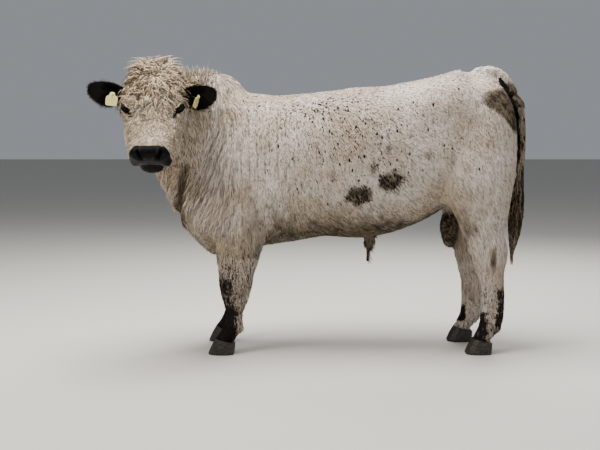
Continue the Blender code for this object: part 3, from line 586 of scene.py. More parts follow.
# ---------------------------------------------------------------- the skin
def rough_forms():
    bm = bmesh.new()

    def ball(centre, axes, radii):
        m = Matrix([Vector(a) for a in axes]).transposed().to_4x4()
        m.translation = Vector(centre)
        bmesh.ops.create_icosphere(bm, subdivisions=2, radius=1.0, matrix=m @ Matrix.Diagonal((*radii, 1.0)))

    def along(body, head=False):
        for c, r, t, s, u in zip(body.c, body.r, body.t, body.s, body.u):
            c = c + u * (r[1] - r[2]) / 2
            axes = [s, u, t]
            if head:
                c, axes = from_head(c), [HEAD_M @ a for a in axes]
            ball(c, axes, (r[0] * 0.95, (r[1] + r[2]) / 2 * 0.95, max(0.35 * r.min(), 0.02) * 1.6))

    for name, body in BODIES.items():
        if name != "cleft":
            along(body)
    along(SKULL_BODY, True)
    along(JAW_BODY, True)
    for centre, radii, turn, k in MUSCLES:
        for side in (1, -1):
            ball((centre[0], centre[1] * side, centre[2]), (np.eye(3) if turn is None else turn).T, radii)
    for centre, radii, turn, k in HANGING:
        ball(centre, (np.eye(3) if turn is None else turn).T, radii)
    for centre, radii, turn, power, k, mirror in HEAD_PADS:
        for side in ((1, -1) if mirror else (1,)):
            turned = np.eye(3) if turn is None else turn
            ball(from_head((centre[0] * side, centre[1], centre[2])), (HEAD_M @ turned).T, radii)
    for x, y, dx, z in FEET.values():
        for side in (-1, 1):
            ball((dx, y + side * 0.024, z), np.eye(3), DEWCLAW)
    return from_bm(bm, "forms")


def drawn_on(mesh, rounds, relaxed=0.5):
    p = coords(mesh)
    edges = edge_ends(mesh)
    for i in range(rounds):
        f = skin_field(p)
        g = skin_gradient(p, f)
        n = unit(g)
        p = p - n * np.clip(f / np.maximum(np.linalg.norm(g, axis=1), 0.3), -0.03, 0.03)[:, None]
        if i < rounds - 1:
            p = relax(p, edges, relaxed, n)
    place(mesh, p)
    return mesh


def split_where(mesh, test):
    """Every edge whose ends both pass the test is halved, and the faces with it."""
    bm = bmesh.new()
    bm.from_mesh(mesh)
    keep = test(coords(mesh))
    bm.verts.ensure_lookup_table()
    edges = [e for e in bm.edges if keep[e.verts[0].index] and keep[e.verts[1].index]]
    bmesh.ops.subdivide_edges(bm, edges=edges, cuts=1, use_grid_fill=True, smooth=0.0)
    return from_bm(bm, "skin")


def in_head(p):
    q = to_head(p)
    return (np.abs(q[:, 0]) < 0.20) & (q[:, 1] > 0.09) & (q[:, 1] < 0.52) & (q[:, 2] > -0.24) & (q[:, 2] < 0.12)


def in_features(p):
    """Round the eyes, and the end of the muzzle."""
    q = to_head(p)
    m = both(q)
    eye = np.linalg.norm(m - EYE - EYE_OUT * 0.012, axis=1) < 0.040
    end = (q[:, 1] > 0.375) & (np.abs(q[:, 0]) < 0.12) & (q[:, 2] > -0.20) & (q[:, 2] < -0.015)
    return eye | end


# the opening of the lids slants: its outer corner is high, its inner corner low and towards the nose
EYE_H = unit(np.array((0.55, -0.62, 0.10)) - EYE_OUT * np.dot(EYE_OUT, (0.55, -0.62, 0.10)))
EYE_V = np.cross(EYE_OUT, EYE_H)
if EYE_V[2] < 0:
    EYE_V = -EYE_V


def lid_place(m):
    """How far a point near the eye is from the middle of the opening: 1 at the edge of the lids."""
    v = m - EYE
    e = unit(v)
    a, b = e @ EYE_H, e @ EYE_V
    b = np.where(b > 0, b / 0.38, b / 0.34)
    a = a / 0.86
    d = (np.abs(a) ** 1.5 + np.abs(b) ** 1.5) ** (1 / 1.5)
    return np.where(e @ EYE_OUT > 0.1, d, 4.0), np.linalg.norm(v, axis=1), e


def lid_ellipse(m):
    """The same seen flat: 1 on the rim of the opening, growing outwards; large away from the eye."""
    v = m - EYE
    a, b = v @ EYE_H, v @ EYE_V
    return np.where((v @ EYE_OUT > -0.006) & (np.linalg.norm(v, axis=1) < 0.06), np.hypot(a / 0.0190, b / 0.0092), 9.0)


def neck_folds(p):
    """1 on the ridges of the loose neck skin and 0 in the grooves between, which run down and forward to the throat."""
    x, y, z = p.T
    line = x - 0.12 * z + 0.55 * np.maximum(1.15 - z, 0.0) ** 2 + 0.008 * np.sin(z * 17 + 3 * y) + 0.003 * np.sin(z * 41 + x * 13)
    wide = 0.5 + 0.5 * np.sin(line * 2 * math.pi / 0.047 + 0.8 * np.sin(z * 6.0))
    narrow = 0.5 + 0.5 * np.sin(line * 2 * math.pi / 0.026 + 1.0 * np.sin(z * 8.0 + 1.0))
    return 0.58 * wide ** 0.8 + 0.42 * narrow


def wrinkles(p):
    """High in the upright wrinkles of the shoulder's skin."""
    x, y, z = p.T
    return np.sin(x * 190 + 1.1 * np.sin(z * 8.0) + 0.6 * np.sin(z * 17 + x * 20)) + 0.6 * np.sin(x * 331 + 1.7 * np.sin(z * 6.0 + 1.0))


def features(p, n):
    """Lids, nostrils, lips and the folds of the face and neck, as moves of the skin's own points."""
    q = to_head(p)
    m = both(q)
    hw = head_weight(p)
    # wrinkles of the loose skin of the neck, and the grooves between the large muscles
    x, y, z = p.T
    neck = step(-x, 0.33, 0.42) * (1 - hw) * step(z, 0.62, 0.75) * step(1.30 - z, 0.0, 0.10)
    move = -0.015 * neck * (1 - neck_folds(p)) * step(-y, -0.05, 0.03)
    for side in (-1, 1):
        near = step(y * side, 0.02, 0.10)
        elbow = bell(x + 0.225 + 0.30 * (z - 0.62), 0, 0.022) * step(z, 0.50, 0.60) * step(0.90 - z, 0.0, 0.2)
        blade = bell(x + 0.195 + 0.32 * (z - 0.9), 0, 0.03) * step(z, 0.72, 0.85) * step(1.16 - z, 0.0, 0.1)
        flank = bell(x - 0.655 - 0.30 * (z - 0.80), 0, 0.030) * step(z, 0.66, 0.74) * step(1.02 - z, 0.0, 0.2)
        hollow = bell(x, 0.60, 0.07) * bell(z, 1.08, 0.07)
        gaskin = bell(x - 0.90 + 0.20 * (z - 0.60), 0, 0.018) * step(z, 0.42, 0.50) * step(0.70 - z, 0.0, 0.1)
        ribs = np.sin((x - 0.10 * z) * 2 * math.pi / 0.062) * bell(x, 0.22, 0.22) * bell(z, 0.88, 0.13)
        move += near * (-0.012 * elbow - 0.005 * blade - 0.010 * flank - 0.010 * hollow - 0.006 * gaskin + 0.0012 * ribs)
        move -= near * 0.0042 * step(wrinkles(p), 0.3, 1.3) * step(x, -0.34, -0.26) * step(0.02 - x, 0.0, 0.12) * step(z, 0.74, 0.86) * step(1.19 - z, 0.0, 0.08)
    # the deep fold between the breast and the dewlap on the near side
    crease = bell(x + 0.575 + 0.20 * (0.80 - z), 0, 0.020) * step(z, 0.52, 0.62) * step(0.95 - z, 0.0, 0.10) * step(-y, 0.02, 0.08)
    move += -0.020 * crease
    # the cannon bones and the tendons behind them
    for foot, (fx, fy, dx, fz) in FEET.items():
        side = bell(y - fy, 0.0, 1.0)
        cx = (-0.338 if foot.startswith("fore") else 0.867) + (OFF_FORE_SHIFT if foot == "fore_right" else OFF_HIND_SHIFT if foot == "hind_right" else 0.0)
        tendon = bell(x - cx - 0.012, 0, 0.010) * step(z, 0.15, 0.18) * step((0.285 if foot.startswith("fore") else 0.33) - z, 0.0, 0.03) * (np.abs(y - fy) < 0.07)
        move += -0.006 * tendon
    p = p + n * move[:, None]
    # face: the line of the cheek, the bone under the eye and the hollow in front of it
    s, a, d = m[:, 0], m[:, 1], m[:, 2]
    face = -0.004 * bell(a, 0.245, 0.035) * bell(s, 0.085, 0.03) * step(d, -0.12, -0.06)
    face += 0.003 * bell(a - 0.27, 0, 0.07) * bell(d, -0.105, 0.012) * step(s, 0.05, 0.08)
    face += -0.004 * bell(a - 0.24, 0, 0.08) * bell(d, -0.145, 0.014) * step(s, 0.04, 0.07)
    face += -0.003 * bell(s, 0.0, 0.02) * bell(a, 0.12, 0.05) * step(d, -0.05, 0.0)
    p = p + n * (face * hw)[:, None]
    q = to_head(p)
    m = both(q)
    sign = np.where(q[:, 0] < 0, -1.0, 1.0)
    # nostrils: a slanting comma, its upper end outwards, with a raised rim on its inner side
    s, a, d = m[:, 0], m[:, 1], m[:, 2]
    end = step(a, 0.40, 0.43)
    down = (a - d) / math.sqrt(2) - 0.357
    u = (s - 0.0455) * 0.50 - down * 0.866          # along the slit, up and out
    v = (s - 0.0455) * 0.866 + down * 0.50          # across it, outwards
    v = v + 9.0 * u * u
    hole = np.exp(-((u / 0.0190) ** 2 + (v / 0.0100) ** 2) ** 1.4)
    curl = np.exp(-(((u + 0.012) / 0.009) ** 2 + ((v - 0.001) / 0.010) ** 2) ** 1.3)
    slit = np.exp(-(((u - 0.004) / 0.010) ** 2 + ((v - 0.016) / 0.005) ** 2))
    rim = np.exp(-((v + 0.0135) / 0.0048) ** 2) * np.exp(-(u / 0.022) ** 4)
    depth = -0.022 * np.maximum(hole, curl) - 0.004 * slit + 0.0060 * rim
    philtrum = -0.003 * bell(s, 0, 0.0032) * step(-d, 0.085, 0.105) * step(d + 0.135, 0, 0.02)
    lips = -0.006 * bell(d + 0.132 + 0.022 * step(s, 0.034, 0.060) - 0.10 * (0.44 - a), 0, 0.0045) * step(a, 0.33, 0.37)
    q[:, 1] += (depth * end + philtrum * end)
    q[:, 0] += sign * depth * end * 0.25
    p = from_head(q) + n * (lips * hw)[:, None]
    # lids over the globe
    q = to_head(p)
    m = both(q)
    where, r, e = lid_place(m)
    near = r < 0.050
    lid = EYE_RADIUS + 0.0032 + 0.0016 * bell(where, 1.10, 0.10)
    inner = 0.0155 + (lid - 0.0155) * step(where, 0.86, 1.0)
    mixed = inner + (np.maximum(r, EYE_RADIUS + 0.003) - inner) * step(where, 1.15, 1.75)
    up = (e @ EYE_V) > 0
    mixed = mixed - 0.0022 * bell(where, 1.50, 0.10) * np.where(up, 1.0, 0.6) + 0.0018 * bell(where, 1.32, 0.09)
    new = np.where(near & (where < 2.2), mixed, r)
    fade = step(0.050 - r, 0.0, 0.012)
    r2 = r + (new - r) * fade
    m2 = EYE + e * r2[:, None]
    m2[:, 0] *= np.where(q[:, 0] < 0, -1.0, 1.0)
    q = np.where((near & (where < 3.9))[:, None], m2, q)
    return from_head(q)


def build_skin():
    mesh = with_modifier(rough_forms(), "REMESH", mode="VOXEL", voxel_size=VOXEL, use_smooth_shade=True)
    mesh = drawn_on(mesh, 6)
    mesh = split_where(mesh, in_head)
    mesh = drawn_on(mesh, 3, 0.4)
    unwrap(mesh)
    mesh = with_modifier(mesh, "SUBSURF", levels=1, render_levels=1)
    mesh = split_where(mesh, in_features)
    p = coords(mesh)
    p = relax(p, edge_ends(mesh), 0.5, None, in_features(p).astype(float) * 0.6)
    place(mesh, p)
    n = normals(mesh)
    p = features(p, n)
    place(mesh, p)
    return mesh


def unwrap(mesh):
    """The skin's own shape laid flat in pieces that don't overlap."""
    ob = put("unwrap", mesh, WORK)
    mesh.uv_layers.new(name="OFBake")
    bpy.context.view_layer.objects.active = ob
    ob.select_set(True)
    bpy.ops.object.mode_set(mode="EDIT")
    bpy.ops.mesh.select_all(action="SELECT")
    bpy.ops.uv.smart_project(angle_limit=math.radians(66), island_margin=0.002)
    bpy.ops.object.mode_set(mode="OBJECT")
    ob.select_set(False)
    bpy.context.collection.objects.unlink(ob) if ob.name in bpy.context.collection.objects else None
    bpy.data.objects.remove(ob, do_unlink=True)


# ---------------------------------------------------------------- markings, the same for skin and coat
def pad_mask(m, soft):
    """1 on the bare black pad, lips and chin: a wide block with round upper corners over a narrower chin."""
    s, a, d = m.T
    down = (a - d) / math.sqrt(2)
    top = 0.3155 + 0.030 * np.clip((s - 0.052) / 0.034, 0, 1) ** 2.2
    upper = step(down - top, -soft, soft) * step(0.0880 + 0.010 * step(down, 0.36, 0.40) - s, -soft, soft)
    return upper * step(a, 0.372, 0.384) * step(0.46 - down, 0.0, 0.01)


def markings(p, hw):
    """black: patches of black hair; speckle: how thick the small black flecks stand; stain and shade: mud stain, and
    painted shade in folds and grooves, under the belly and low on the body; blond: warm hair.
    """
    x, y, z = p.T
    q = to_head(p)
    m = both(q)
    s, a, d = m.T
    near = step(-y, -0.02, 0.06)
    black = np.zeros(len(p))
    # muzzle, lips and chin
    black = np.maximum(black, pad_mask(m, 0.004) * (hw > 0.2))
    # round the eyes, with a line to the inner corner and a patch up to the ear
    v = m - EYE
    along_lid, across = v @ EYE_H, v @ EYE_V
    r = np.linalg.norm(v, axis=1)
    flat = 0.024 / np.maximum(r, 0.010)
    ring = 1 - step(lid_ellipse(m), 1.62, 1.95)
    # the tear line runs down and inwards over the cheek bone
    tear = np.exp(-(((s - 0.094) + 0.75 * ((a - d) / math.sqrt(2) - 0.178)) / 0.0088) ** 2) * step((a - d) / math.sqrt(2), 0.150, 0.156) * step(0.196 - (a - d) / math.sqrt(2), 0.0, 0.008) * step(s, 0.070, 0.080)
    back = 0.42 * (1 - step(np.hypot((s - 0.150) / 0.012, (a - d - 0.225) / 0.040), 0.7, 1.15)) * step(s, 0.136, 0.144)
    black = np.maximum(black, np.maximum(np.maximum(ring, tear), back) * (hw > 0.3))
    # ear roots
    for root, tip, face in EARS.values():
        black = np.maximum(black, 1 - step(np.linalg.norm(p - np.array(root), axis=1), 0.040, 0.056))
    # legs: roan below the elbow and solid low down in front
    fore = (x < 0.2) & (z < 0.52)
    fx = np.where(y < 0, -0.335, -0.357)
    front = step(fx - x, -0.045, 0.030)
    low = step(0.45 - z, 0.0, 0.11)
    leg_black = np.where(fore, np.maximum(low * (0.27 + 0.30 * front), step(0.29 - z, 0.0, 0.08) * (0.34 + 0.44 * front)), 0.0)
    hind = (x > 0.5) & (z < 0.45)
    hx = np.where(y < 0, 0.862, 0.818)
    frontal = step(hx - x, -0.05, 0.03)
    middle = bell(x, hx + 0.004, 0.020)
    near_hind = np.maximum(0.62 * (1 - frontal) * step(0.36 - z, 0.0, 0.06) * step(z, 0.15, 0.20), (0.66 - 0.30 * middle) * step(0.235 - z, 0.0, 0.05))
    off_hind = 0.66 * step(hx - 0.006 - x, 0.0, 0.03) * step(0.205 - z, 0.0, 0.03) * step(z, 0.085, 0.11)
    leg_black = np.where(hind, np.where(y < 0, near_hind, off_hind), leg_black)
    bag = step(0.064 - np.hypot(x - 0.688, y), 0.0, 0.012) * step(0.665 - z, 0.0, 0.03)
    black = np.maximum(black, 0.47 * bag)
    mouth = step(0.036 - np.hypot(x - 0.300, y), 0.0, 0.010) * step(0.505 - z, 0.0, 0.03)
    black = np.maximum(black, 0.50 * mouth)
    black = np.maximum(black, leg_black)
    # tail root
    black = np.maximum(black, 0.9 * step(x, 0.975, 0.995) * step(0.040 - np.abs(y), 0.0, 0.012) * step(1.24 - z, 0.0, 0.05) * step(z, 1.12, 1.16))
    root_line = BODIES["tail_head"]
    at = np.where((x > 0.85) & (z > 1.12) & (np.abs(y) < 0.09))[0]
    if len(at):
        gap = np.linalg.norm(p[at, None] * (1, 0, 1) - root_line.c[None] * (1, 0, 1), axis=2)
        k = gap.argmin(1)
        out = np.cross(root_line.t[k], (0.0, 1.0, 0.0))
        out *= np.sign(out[:, :1] + out[:, 2:3])
        rel = np.einsum("ij,ij->i", (p[at] - root_line.c[k]) * (1, 0, 1), out)
        band = step(-rel, 0.008, 0.016) * step(0.062 + rel, 0.0, 0.010) * step(x[at], 0.895, 0.925)
        black[at] = np.maximum(black[at] * 0, 0.95 * band)
    # the two mottled patches low on the ribs, and small ones near them
    patch = np.zeros(len(p))
    for cx, cz, rx, rz, w in ((0.239, 0.751, 0.084, 0.054, 1.0), (0.380, 0.818, 0.070, 0.056, 1.0), (0.312, 0.866, 0.026, 0.034, 0.5), (0.383, 0.968, 0.018, 0.026, 0.45)):
        turn = np.arctan2(z - cz, x - cx)
        uneven = 1 + 0.08 * np.sin(2 * turn + 9 * cx) + 0.05 * np.sin(3 * turn + 40 * cx) + 0.08 * np.sin(5 * turn - 25 * cz) + 0.06 * np.sin(8 * turn + 2)
        patch = np.maximum(patch, w * (1 - step(np.hypot((x - cx) / rx, (z - cz) / rz) * uneven, 0.50, 1.15)))
    patch *= near
    black = np.maximum(black, 0.35 * patch)
    # flecks: thick behind the shoulder top, thinner over the ribs, roan on the forearm
    side = 0.25 + 0.75 * near
    fleck = 0.27 * bell(x, 0.12, 0.27) * bell(z, 1.00, 0.22)
    fleck += 0.50 * bell(x, 0.13, 0.15) * bell(z, 1.150, 0.065) + 0.26 * bell(x, -0.06, 0.16) * bell(z, 1.14, 0.08)
    fleck += 0.20 * bell(x, 0.38, 0.16) * bell(z, 1.02, 0.20) + 0.40 * bell(x, -0.25, 0.035) * bell(z, 1.18, 0.05)
    fleck += 0.05 * bell(x, 0.72, 0.2) * bell(z, 1.0, 0.2)
    fleck *= side
    fleck += 0.80 * patch
    fleck += np.where(fore, (0.70 + 0.30 * front) * step(0.55 - z, 0.0, 0.19), 0.0) + np.where(hind, np.where(y < 0, 0.55, 0.22) * step(0.40 - z, 0.0, 0.16), 0.0)
    fleck = np.clip(fleck * (1 - hw), 0, 1)
    # stains under the tail head and on the hock; painted shade in the fold of the breast and under the belly
    wedge = np.clip((x - 0.775) / 0.20, 0.0, 1.0)
    stain_and_shade = (0.50 + 0.50 * wedge) * step(wedge, 0.0, 0.18) * (1 - step(np.abs(z - 1.193 + 0.045 * wedge) / (0.020 + 0.105 * wedge) + 0.10 * np.sin(y * 47 + 0.6) + 0.07 * np.sin(y * 95), 0.62, 1.12))
    stain_and_shade *= 1 - step(y - 0.35 * (z - 1.10), 0.085, 0.165)
    black = np.maximum(black, 0.40 * stain_and_shade * step(wedge, 0.55, 0.9))
    stain_and_shade = np.maximum(stain_and_shade, 0.9 * bag)
    stain_and_shade = np.maximum(stain_and_shade, 0.8 * mouth)
    # painted shade in the fold between the breast and the dewlap
    stain_and_shade = np.maximum(stain_and_shade, 0.8 * bell(x + 0.565 + 0.20 * (0.80 - z), 0, 0.030) * step(z, 0.50, 0.60) * step(0.96 - z, 0.0, 0.12) * near)
    stain_and_shade = np.maximum(stain_and_shade, 0.70 * bell(x, 0.868, 0.020) * bell(z, 0.455, 0.075) * (x > 0.5) * near)
    stain_and_shade = np.maximum(stain_and_shade, 0.7 * patch)
    # painted shade on the underside of the belly
    stain_and_shade = np.maximum(stain_and_shade, 0.30 * step(0.66 - z, 0.0, 0.12) * step(z, 0.45, 0.50) * step(x, -0.22, -0.1) * (x < 0.62))
    stain_and_shade = np.maximum(stain_and_shade, 0.80 * bell(x, -0.130, 0.040) * bell(z, 0.605, 0.030) * near)
    # a painted shadow on the flank
    stain_and_shade = np.maximum(stain_and_shade, 0.35 * bell(x, 0.60, 0.05) * bell(z, 0.91, 0.03) * near)
    # painted shade in the grooves between the folds of the neck skin
    stain_and_shade = np.maximum(stain_and_shade, 0.24 * step(1 - neck_folds(p), 0.30, 0.95) * (1 - hw) * step(-x, 0.33, 0.42) * step(z, 0.6, 0.7) * step(1.30 - z, 0.0, 0.12))
    # warm hair: poll and forehead, crest, throat and lower neck
    blond = hw * step(0.26 - a, 0.0, 0.16) * step(d, -0.12, -0.06) * 0.95
    blond = np.maximum(blond, 0.24 * (1 - hw) * step(-x, 0.36, 0.52))
    blond = np.maximum(blond, hw * 0.35)
    blond = np.maximum(blond, 0.35 * step(0.62 - z, 0.0, 0.1) * step(-x, 0.2, 0.3))
    # painted shade over the lower half of the body, darker towards the bottom
    stain_and_shade = np.maximum(stain_and_shade, 0.46 * step(0.90 - z, 0.0, 0.30) * (x > -0.3) * (x < 0.75) * (z > 0.45))
    above = z - np.interp(x, [row[0] for row in TRUNK], [row[2] for row in TRUNK])
    # painted shade in a band just above the belly line
    stain_and_shade = np.maximum(stain_and_shade, 0.70 * step(0.21 - 0.13 * step(x, 0.34, 0.52) - above, 0.0, 0.18 - 0.06 * step(x, 0.34, 0.52)) * step(x, -0.26, -0.16) * step(0.70 - x, 0.0, 0.10))
    # small olive smudges on the ribs and the flank; the last, long one low on the flank is a painted shadow
    for cx, cz, rx, rz, w in ((0.305, 0.872, 0.024, 0.034, 0.60), (0.372, 0.970, 0.019, 0.028, 0.58), (0.557, 0.935, 0.030, 0.028, 0.48), (0.680, 0.828, 0.060, 0.022, 0.44)):
        stain_and_shade = np.maximum(stain_and_shade, w * bell(x, cx, rx) * bell(z, cz, rz) * near)
    # greyer hair over the ribs round a white place on the back: partly hair colour, partly painted shade on the sides
    # below the lit top of the back
    white = bell(x, 0.125, 0.115) * bell(z, 1.155, 0.050)
    stain_and_shade = np.maximum(stain_and_shade, 0.24 * bell(x, 0.28, 0.36) * bell(z, 0.98, 0.24) * (1 - white) * (1 - hw))
    # painted shade in the grooves of the upright wrinkles behind the shoulder's front edge
    stain_and_shade = np.maximum(stain_and_shade, 0.46 * step(wrinkles(p), 0.55, 1.25) * step(x, -0.36, -0.28) * step(0.03 - x, 0.0, 0.12) * step(z, 0.72, 0.84) * step(1.21 - z, 0.0, 0.08) * (1 - hw))
    stain_and_shade = np.maximum(stain_and_shade, 0.36 * step(0.66 - z, 0.0, 0.10) * step(z, 0.40, 0.50) * (x < -0.2))
    stain_and_shade = np.maximum(stain_and_shade, 0.50 * (x > 0.62) * step(0.72 - z, 0.0, 0.14) * step(z, 0.50, 0.60) * step(0.86 - x, 0.0, 0.10))
    # a reddish whorl on the near side of the nose bridge, and painted shade: greyer hair in the hollows of the face
    stain_and_shade = np.maximum(stain_and_shade, hw * 0.55 * bell(q[:, 0] + 0.034, 0, 0.020) * bell(a, 0.243, 0.026) * step(d, -0.10, -0.05))
    stain_and_shade = np.maximum(stain_and_shade, hw * 0.22 * step(0.30 - a, 0.0, 0.12) * step(d, -0.10, -0.05) * (1 - step(s, 0.055, 0.085)))
    return np.stack([black, fleck, np.clip(stain_and_shade, 0, 1), np.clip(blond, 0, 1)], 1)


def lie(p, n, hw):
    """The way the hair lies: down and back over the body, forward down the neck, out from the middle of the brow."""
    x, y, z = p.T
    q = to_head(p)
    s, a, d = q.T
    slant = 0.10 + 0.85 * step(x, -0.25, 0.45) - 0.55 * step(x, 0.66, 0.86)
    neck = step(-x, 0.30, 0.44)
    forward = 0.12 + 1.1 * np.clip(1.15 - z, 0.0, 0.45)
    down = np.stack([slant * (1 - neck) - forward * neck, -0.20 * neck, -np.ones(len(p))], 1)
    top = step(n[:, 2], 0.55, 0.9)[:, None] * (1 - neck)[:, None]
    v = down * (1 - top) + np.array((1.0, 0.0, -0.05)) * top
    legs = step(0.60 - z, 0.0, 0.15)[:, None] * (np.abs(y) > 0.09)[:, None]
    v = v * (1 - legs) + np.array((0.10, 0.0, -1.0)) * legs
    out = np.stack([s * 1.5, a - 0.125, 0 * s], 1)
    out = unit(out + 1e-4)
    cheek = step(-d, 0.07, 0.14)[:, None]
    cheeks = unit(np.stack([0.10 * np.sign(s), 0 * s + 0.35, -np.ones(len(s))], 1))
    face = out * (1 - cheek) + cheeks * cheek
    tip = step(a, 0.33, 0.42)[:, None]
    face = face * (1 - tip) + unit(np.stack([0.8 * np.sign(s) * np.minimum(np.abs(s) * 20, 1), -0.15 + 0 * s, -0.6 + 0 * s], 1)) * tip
    v = unit(v) * (1 - hw)[:, None] + (face @ HEAD_M.T) * hw[:, None]
    v = v - n * np.einsum("ij,ij->i", v, n)[:, None]
    return unit(v)


# ---------------------------------------------------------------- tufts
class Roots:
    """Points spread over a mesh, with what a tuft needs to know there."""

    def __init__(self, mesh, weight, count, seed, uv="OFBake"):
        mesh.calc_loop_triangles()
        k = len(mesh.loop_triangles)
        tri = np.empty(k * 3, dtype=np.int32)
        mesh.loop_triangles.foreach_get("vertices", tri)
        loops = np.empty(k * 3, dtype=np.int32)
        mesh.loop_triangles.foreach_get("loops", loops)
        tri, loops = tri.reshape(-1, 3), loops.reshape(-1, 3)
        p, n = coords(mesh), normals(mesh)
        area = 0.5 * np.linalg.norm(np.cross(p[tri[:, 1]] - p[tri[:, 0]], p[tri[:, 2]] - p[tri[:, 0]]), axis=1)
        chance = area * weight[tri].mean(1)
        rng = np.random.default_rng(seed)
        edges = np.cumsum(chance)
        pick = np.searchsorted(edges, (np.arange(count) + rng.random(count)) / count * edges[-1])
        pick = np.minimum(pick, k - 1)
        r1, r2 = np.sqrt(rng.random(count)), rng.random(count)
        bary = np.stack([1 - r1, r1 * (1 - r2), r1 * r2], 1)[:, :, None]
        self.p = (p[tri[pick]] * bary).sum(1)
        self.n = unit((n[tri[pick]] * bary).sum(1))
        layer = mesh.uv_layers.get(uv)
        if layer is not None:
            flat = np.empty(len(layer.data) * 2, dtype=np.float32)
            layer.data.foreach_get("uv", flat)
            self.uv = (flat.reshape(-1, 2)[loops[pick]] * bary).sum(1)
        else:
            self.uv = rng.random((count, 2))
        self.rng = rng
        self.count = count

    def keep(self, mask):
        for key in ("p", "n", "uv"):
            setattr(self, key, getattr(self, key)[mask])
        self.count = int(mask.sum())
        return self


def tuft_mesh(name, path, side, up, width, thick, root, uv, shade, marks, material, lean=None):
    """Closed three-sided tapering tufts. path is tufts x rings x 3; the last ring is the tip."""
    count, rings = path.shape[:2]
    rings -= 1
    t = np.linspace(0, 1, rings + 1)[:-1]
    taper = (1 - t ** 1.7) * (0.72 + 0.28 * np.minimum(t * 4, 1))
    w = width[:, None, None] * taper[None, :, None]
    h = thick[:, None, None] * taper[None, :, None]
    body = path[:, :-1]
    a = body - side * w - up * h * 0.4
    b = body + side * w - up * h * 0.4
    c = body + up * h
    verts = np.concatenate([np.stack([a, b, c], 2).reshape(count, rings * 3, 3), path[:, -1:]], 1)
    per = rings * 3 + 1
    quads = []
    for r in range(rings - 1):
        for i in range(3):
            j = (i + 1) % 3
            quads.append((r * 3 + i, r * 3 + j, (r + 1) * 3 + j, (r + 1) * 3 + i))
    last = (rings - 1) * 3
    tris = [(0, 2, 1)] + [(last + i, last + (i + 1) % 3, per - 1) for i in range(3)]
    quads, tris = np.array(quads, dtype=np.int64).reshape(-1, 4), np.array(tris, dtype=np.int64)
    loop_pattern = np.concatenate([quads.ravel(), tris.ravel()])
    sizes = np.concatenate([np.full(len(quads), 4), np.full(len(tris), 3)])
    tri_count = len(quads) * 2 + len(tris)
    most = 190000 // tri_count
    made = []
    for k in range(0, count, most):
        part = slice(k, min(count, k + most))
        m = part.stop - part.start
        mesh = bpy.data.meshes.new(f"{name}_{k // most + 1}")
        mesh.vertices.add(m * per)
        mesh.vertices.foreach_set("co", np.ascontiguousarray(verts[part] + OFFSET, dtype=np.float32).ravel())
        loops = (np.arange(m)[:, None] * per + loop_pattern[None]).ravel()
        mesh.loops.add(len(loops))
        mesh.loops.foreach_set("vertex_index", loops.astype(np.int32))
        face_sizes = np.tile(sizes, m)
        mesh.polygons.add(len(face_sizes))
        mesh.polygons.foreach_set("loop_start", np.concatenate([[0], np.cumsum(face_sizes)[:-1]]).astype(np.int32))
        mesh.polygons.foreach_set("use_smooth", np.ones(len(face_sizes), dtype=bool))
        mesh.update(calc_edges=True)
        layer = mesh.uv_layers.new(name="OFBake")
        ring_of = np.minimum(np.arange(per) // 3, rings) / rings
        corner = np.array([0.0, 0.5, 1.0])[np.arange(per) % 3]
        patch = np.stack([corner - 0.5, ring_of - 0.5], 1) * 0.003
        spots = (uv[part][:, None] + patch[None])[:, loop_pattern]
        layer.data.foreach_set("uv", np.ascontiguousarray(spots, dtype=np.float32).ravel())
        put_attributes(mesh, np.repeat(root[part], per, 0), np.repeat(marks[part], per, 0), np.repeat(shade[part], per), np.tile(ring_of, m))
        mesh.materials.append(material)
        ob = put(mesh.name, mesh)
        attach(ob, "root")
        made.append(ob)
    return made


def put_attributes(mesh, root, marks, shade, tip):
    n = len(mesh.vertices)
    at = mesh.attributes.new("root", "FLOAT_VECTOR", "POINT")
    at.data.foreach_set("vector", np.ascontiguousarray(root, dtype=np.float32).ravel())
    at = mesh.attributes.new("marks", "FLOAT_COLOR", "POINT")
    at.data.foreach_set("color", np.ascontiguousarray(marks, dtype=np.float32).ravel())
    for name, values in (("shade", shade), ("tip", tip)):
        at = mesh.attributes.new(name, "FLOAT", "POINT")
        at.data.foreach_set("value", np.ascontiguousarray(values, dtype=np.float32))


def frames(path, n):
    """Across and up at every ring but the tip."""
    t = unit(path[:, 1:] - path[:, :-1])
    up = n[:, None] if n.ndim == 2 else n
    side = unit(np.cross(t, up))
    return side, np.cross(side, t)


def lay(roots, direction, length, lift, rings, droop=0.35, wave=0.0, wavelength=0.05, surface=None, sink=0.0015, twist=None):
    """Paths of tufts that leave the skin at a low angle and lie along it. With a surface they follow its shape."""
    rng = roots.rng
    n, d = roots.n, direction
    side = np.cross(n, d)
    path = [roots.p - n * sink]
    phase = rng.random(roots.count) * 2 * math.pi
    step_len = length / rings
    cur, cd, cn = roots.p.copy(), d.copy(), n.copy()
    for k in range(1, rings + 1):
        t = k / rings
        if surface is not None:
            cur = cur + cd * step_len[:, None]
            tree, sp, sn = surface
            idx = np.array([tree.find(c)[1] for c in cur])
            base, bn = sp[idx], sn[idx]
            cur = cur - bn * np.einsum("ij,ij->i", cur - base, bn)[:, None]
            cd = unit(cd - bn * np.einsum("ij,ij->i", cd, bn)[:, None] + np.array((0, 0, -0.10)) * (cd[:, 2:3] < 0.2))
            cn = bn
            side = np.cross(cn, cd)
            point = cur + cn * (length * lift * t * (1 - droop * t))[:, None]
        else:
            point = roots.p + d * (length * t)[:, None] + n * (length * lift * t * (1 - droop * t))[:, None]
        if wave:
            point = point + side * (wave * t ** 0.7 * np.sin(phase + 2 * math.pi * length * t / wavelength))[:, None]
        path.append(point)
    return np.stack(path, 1)


def mixed_direction(d, n, amount, rng):
    """The lie with a little disorder."""
    side = np.cross(n, d)
    a = rng.normal(0, amount, len(d))
    return unit(d * np.cos(a)[:, None] + side * np.sin(a)[:, None])


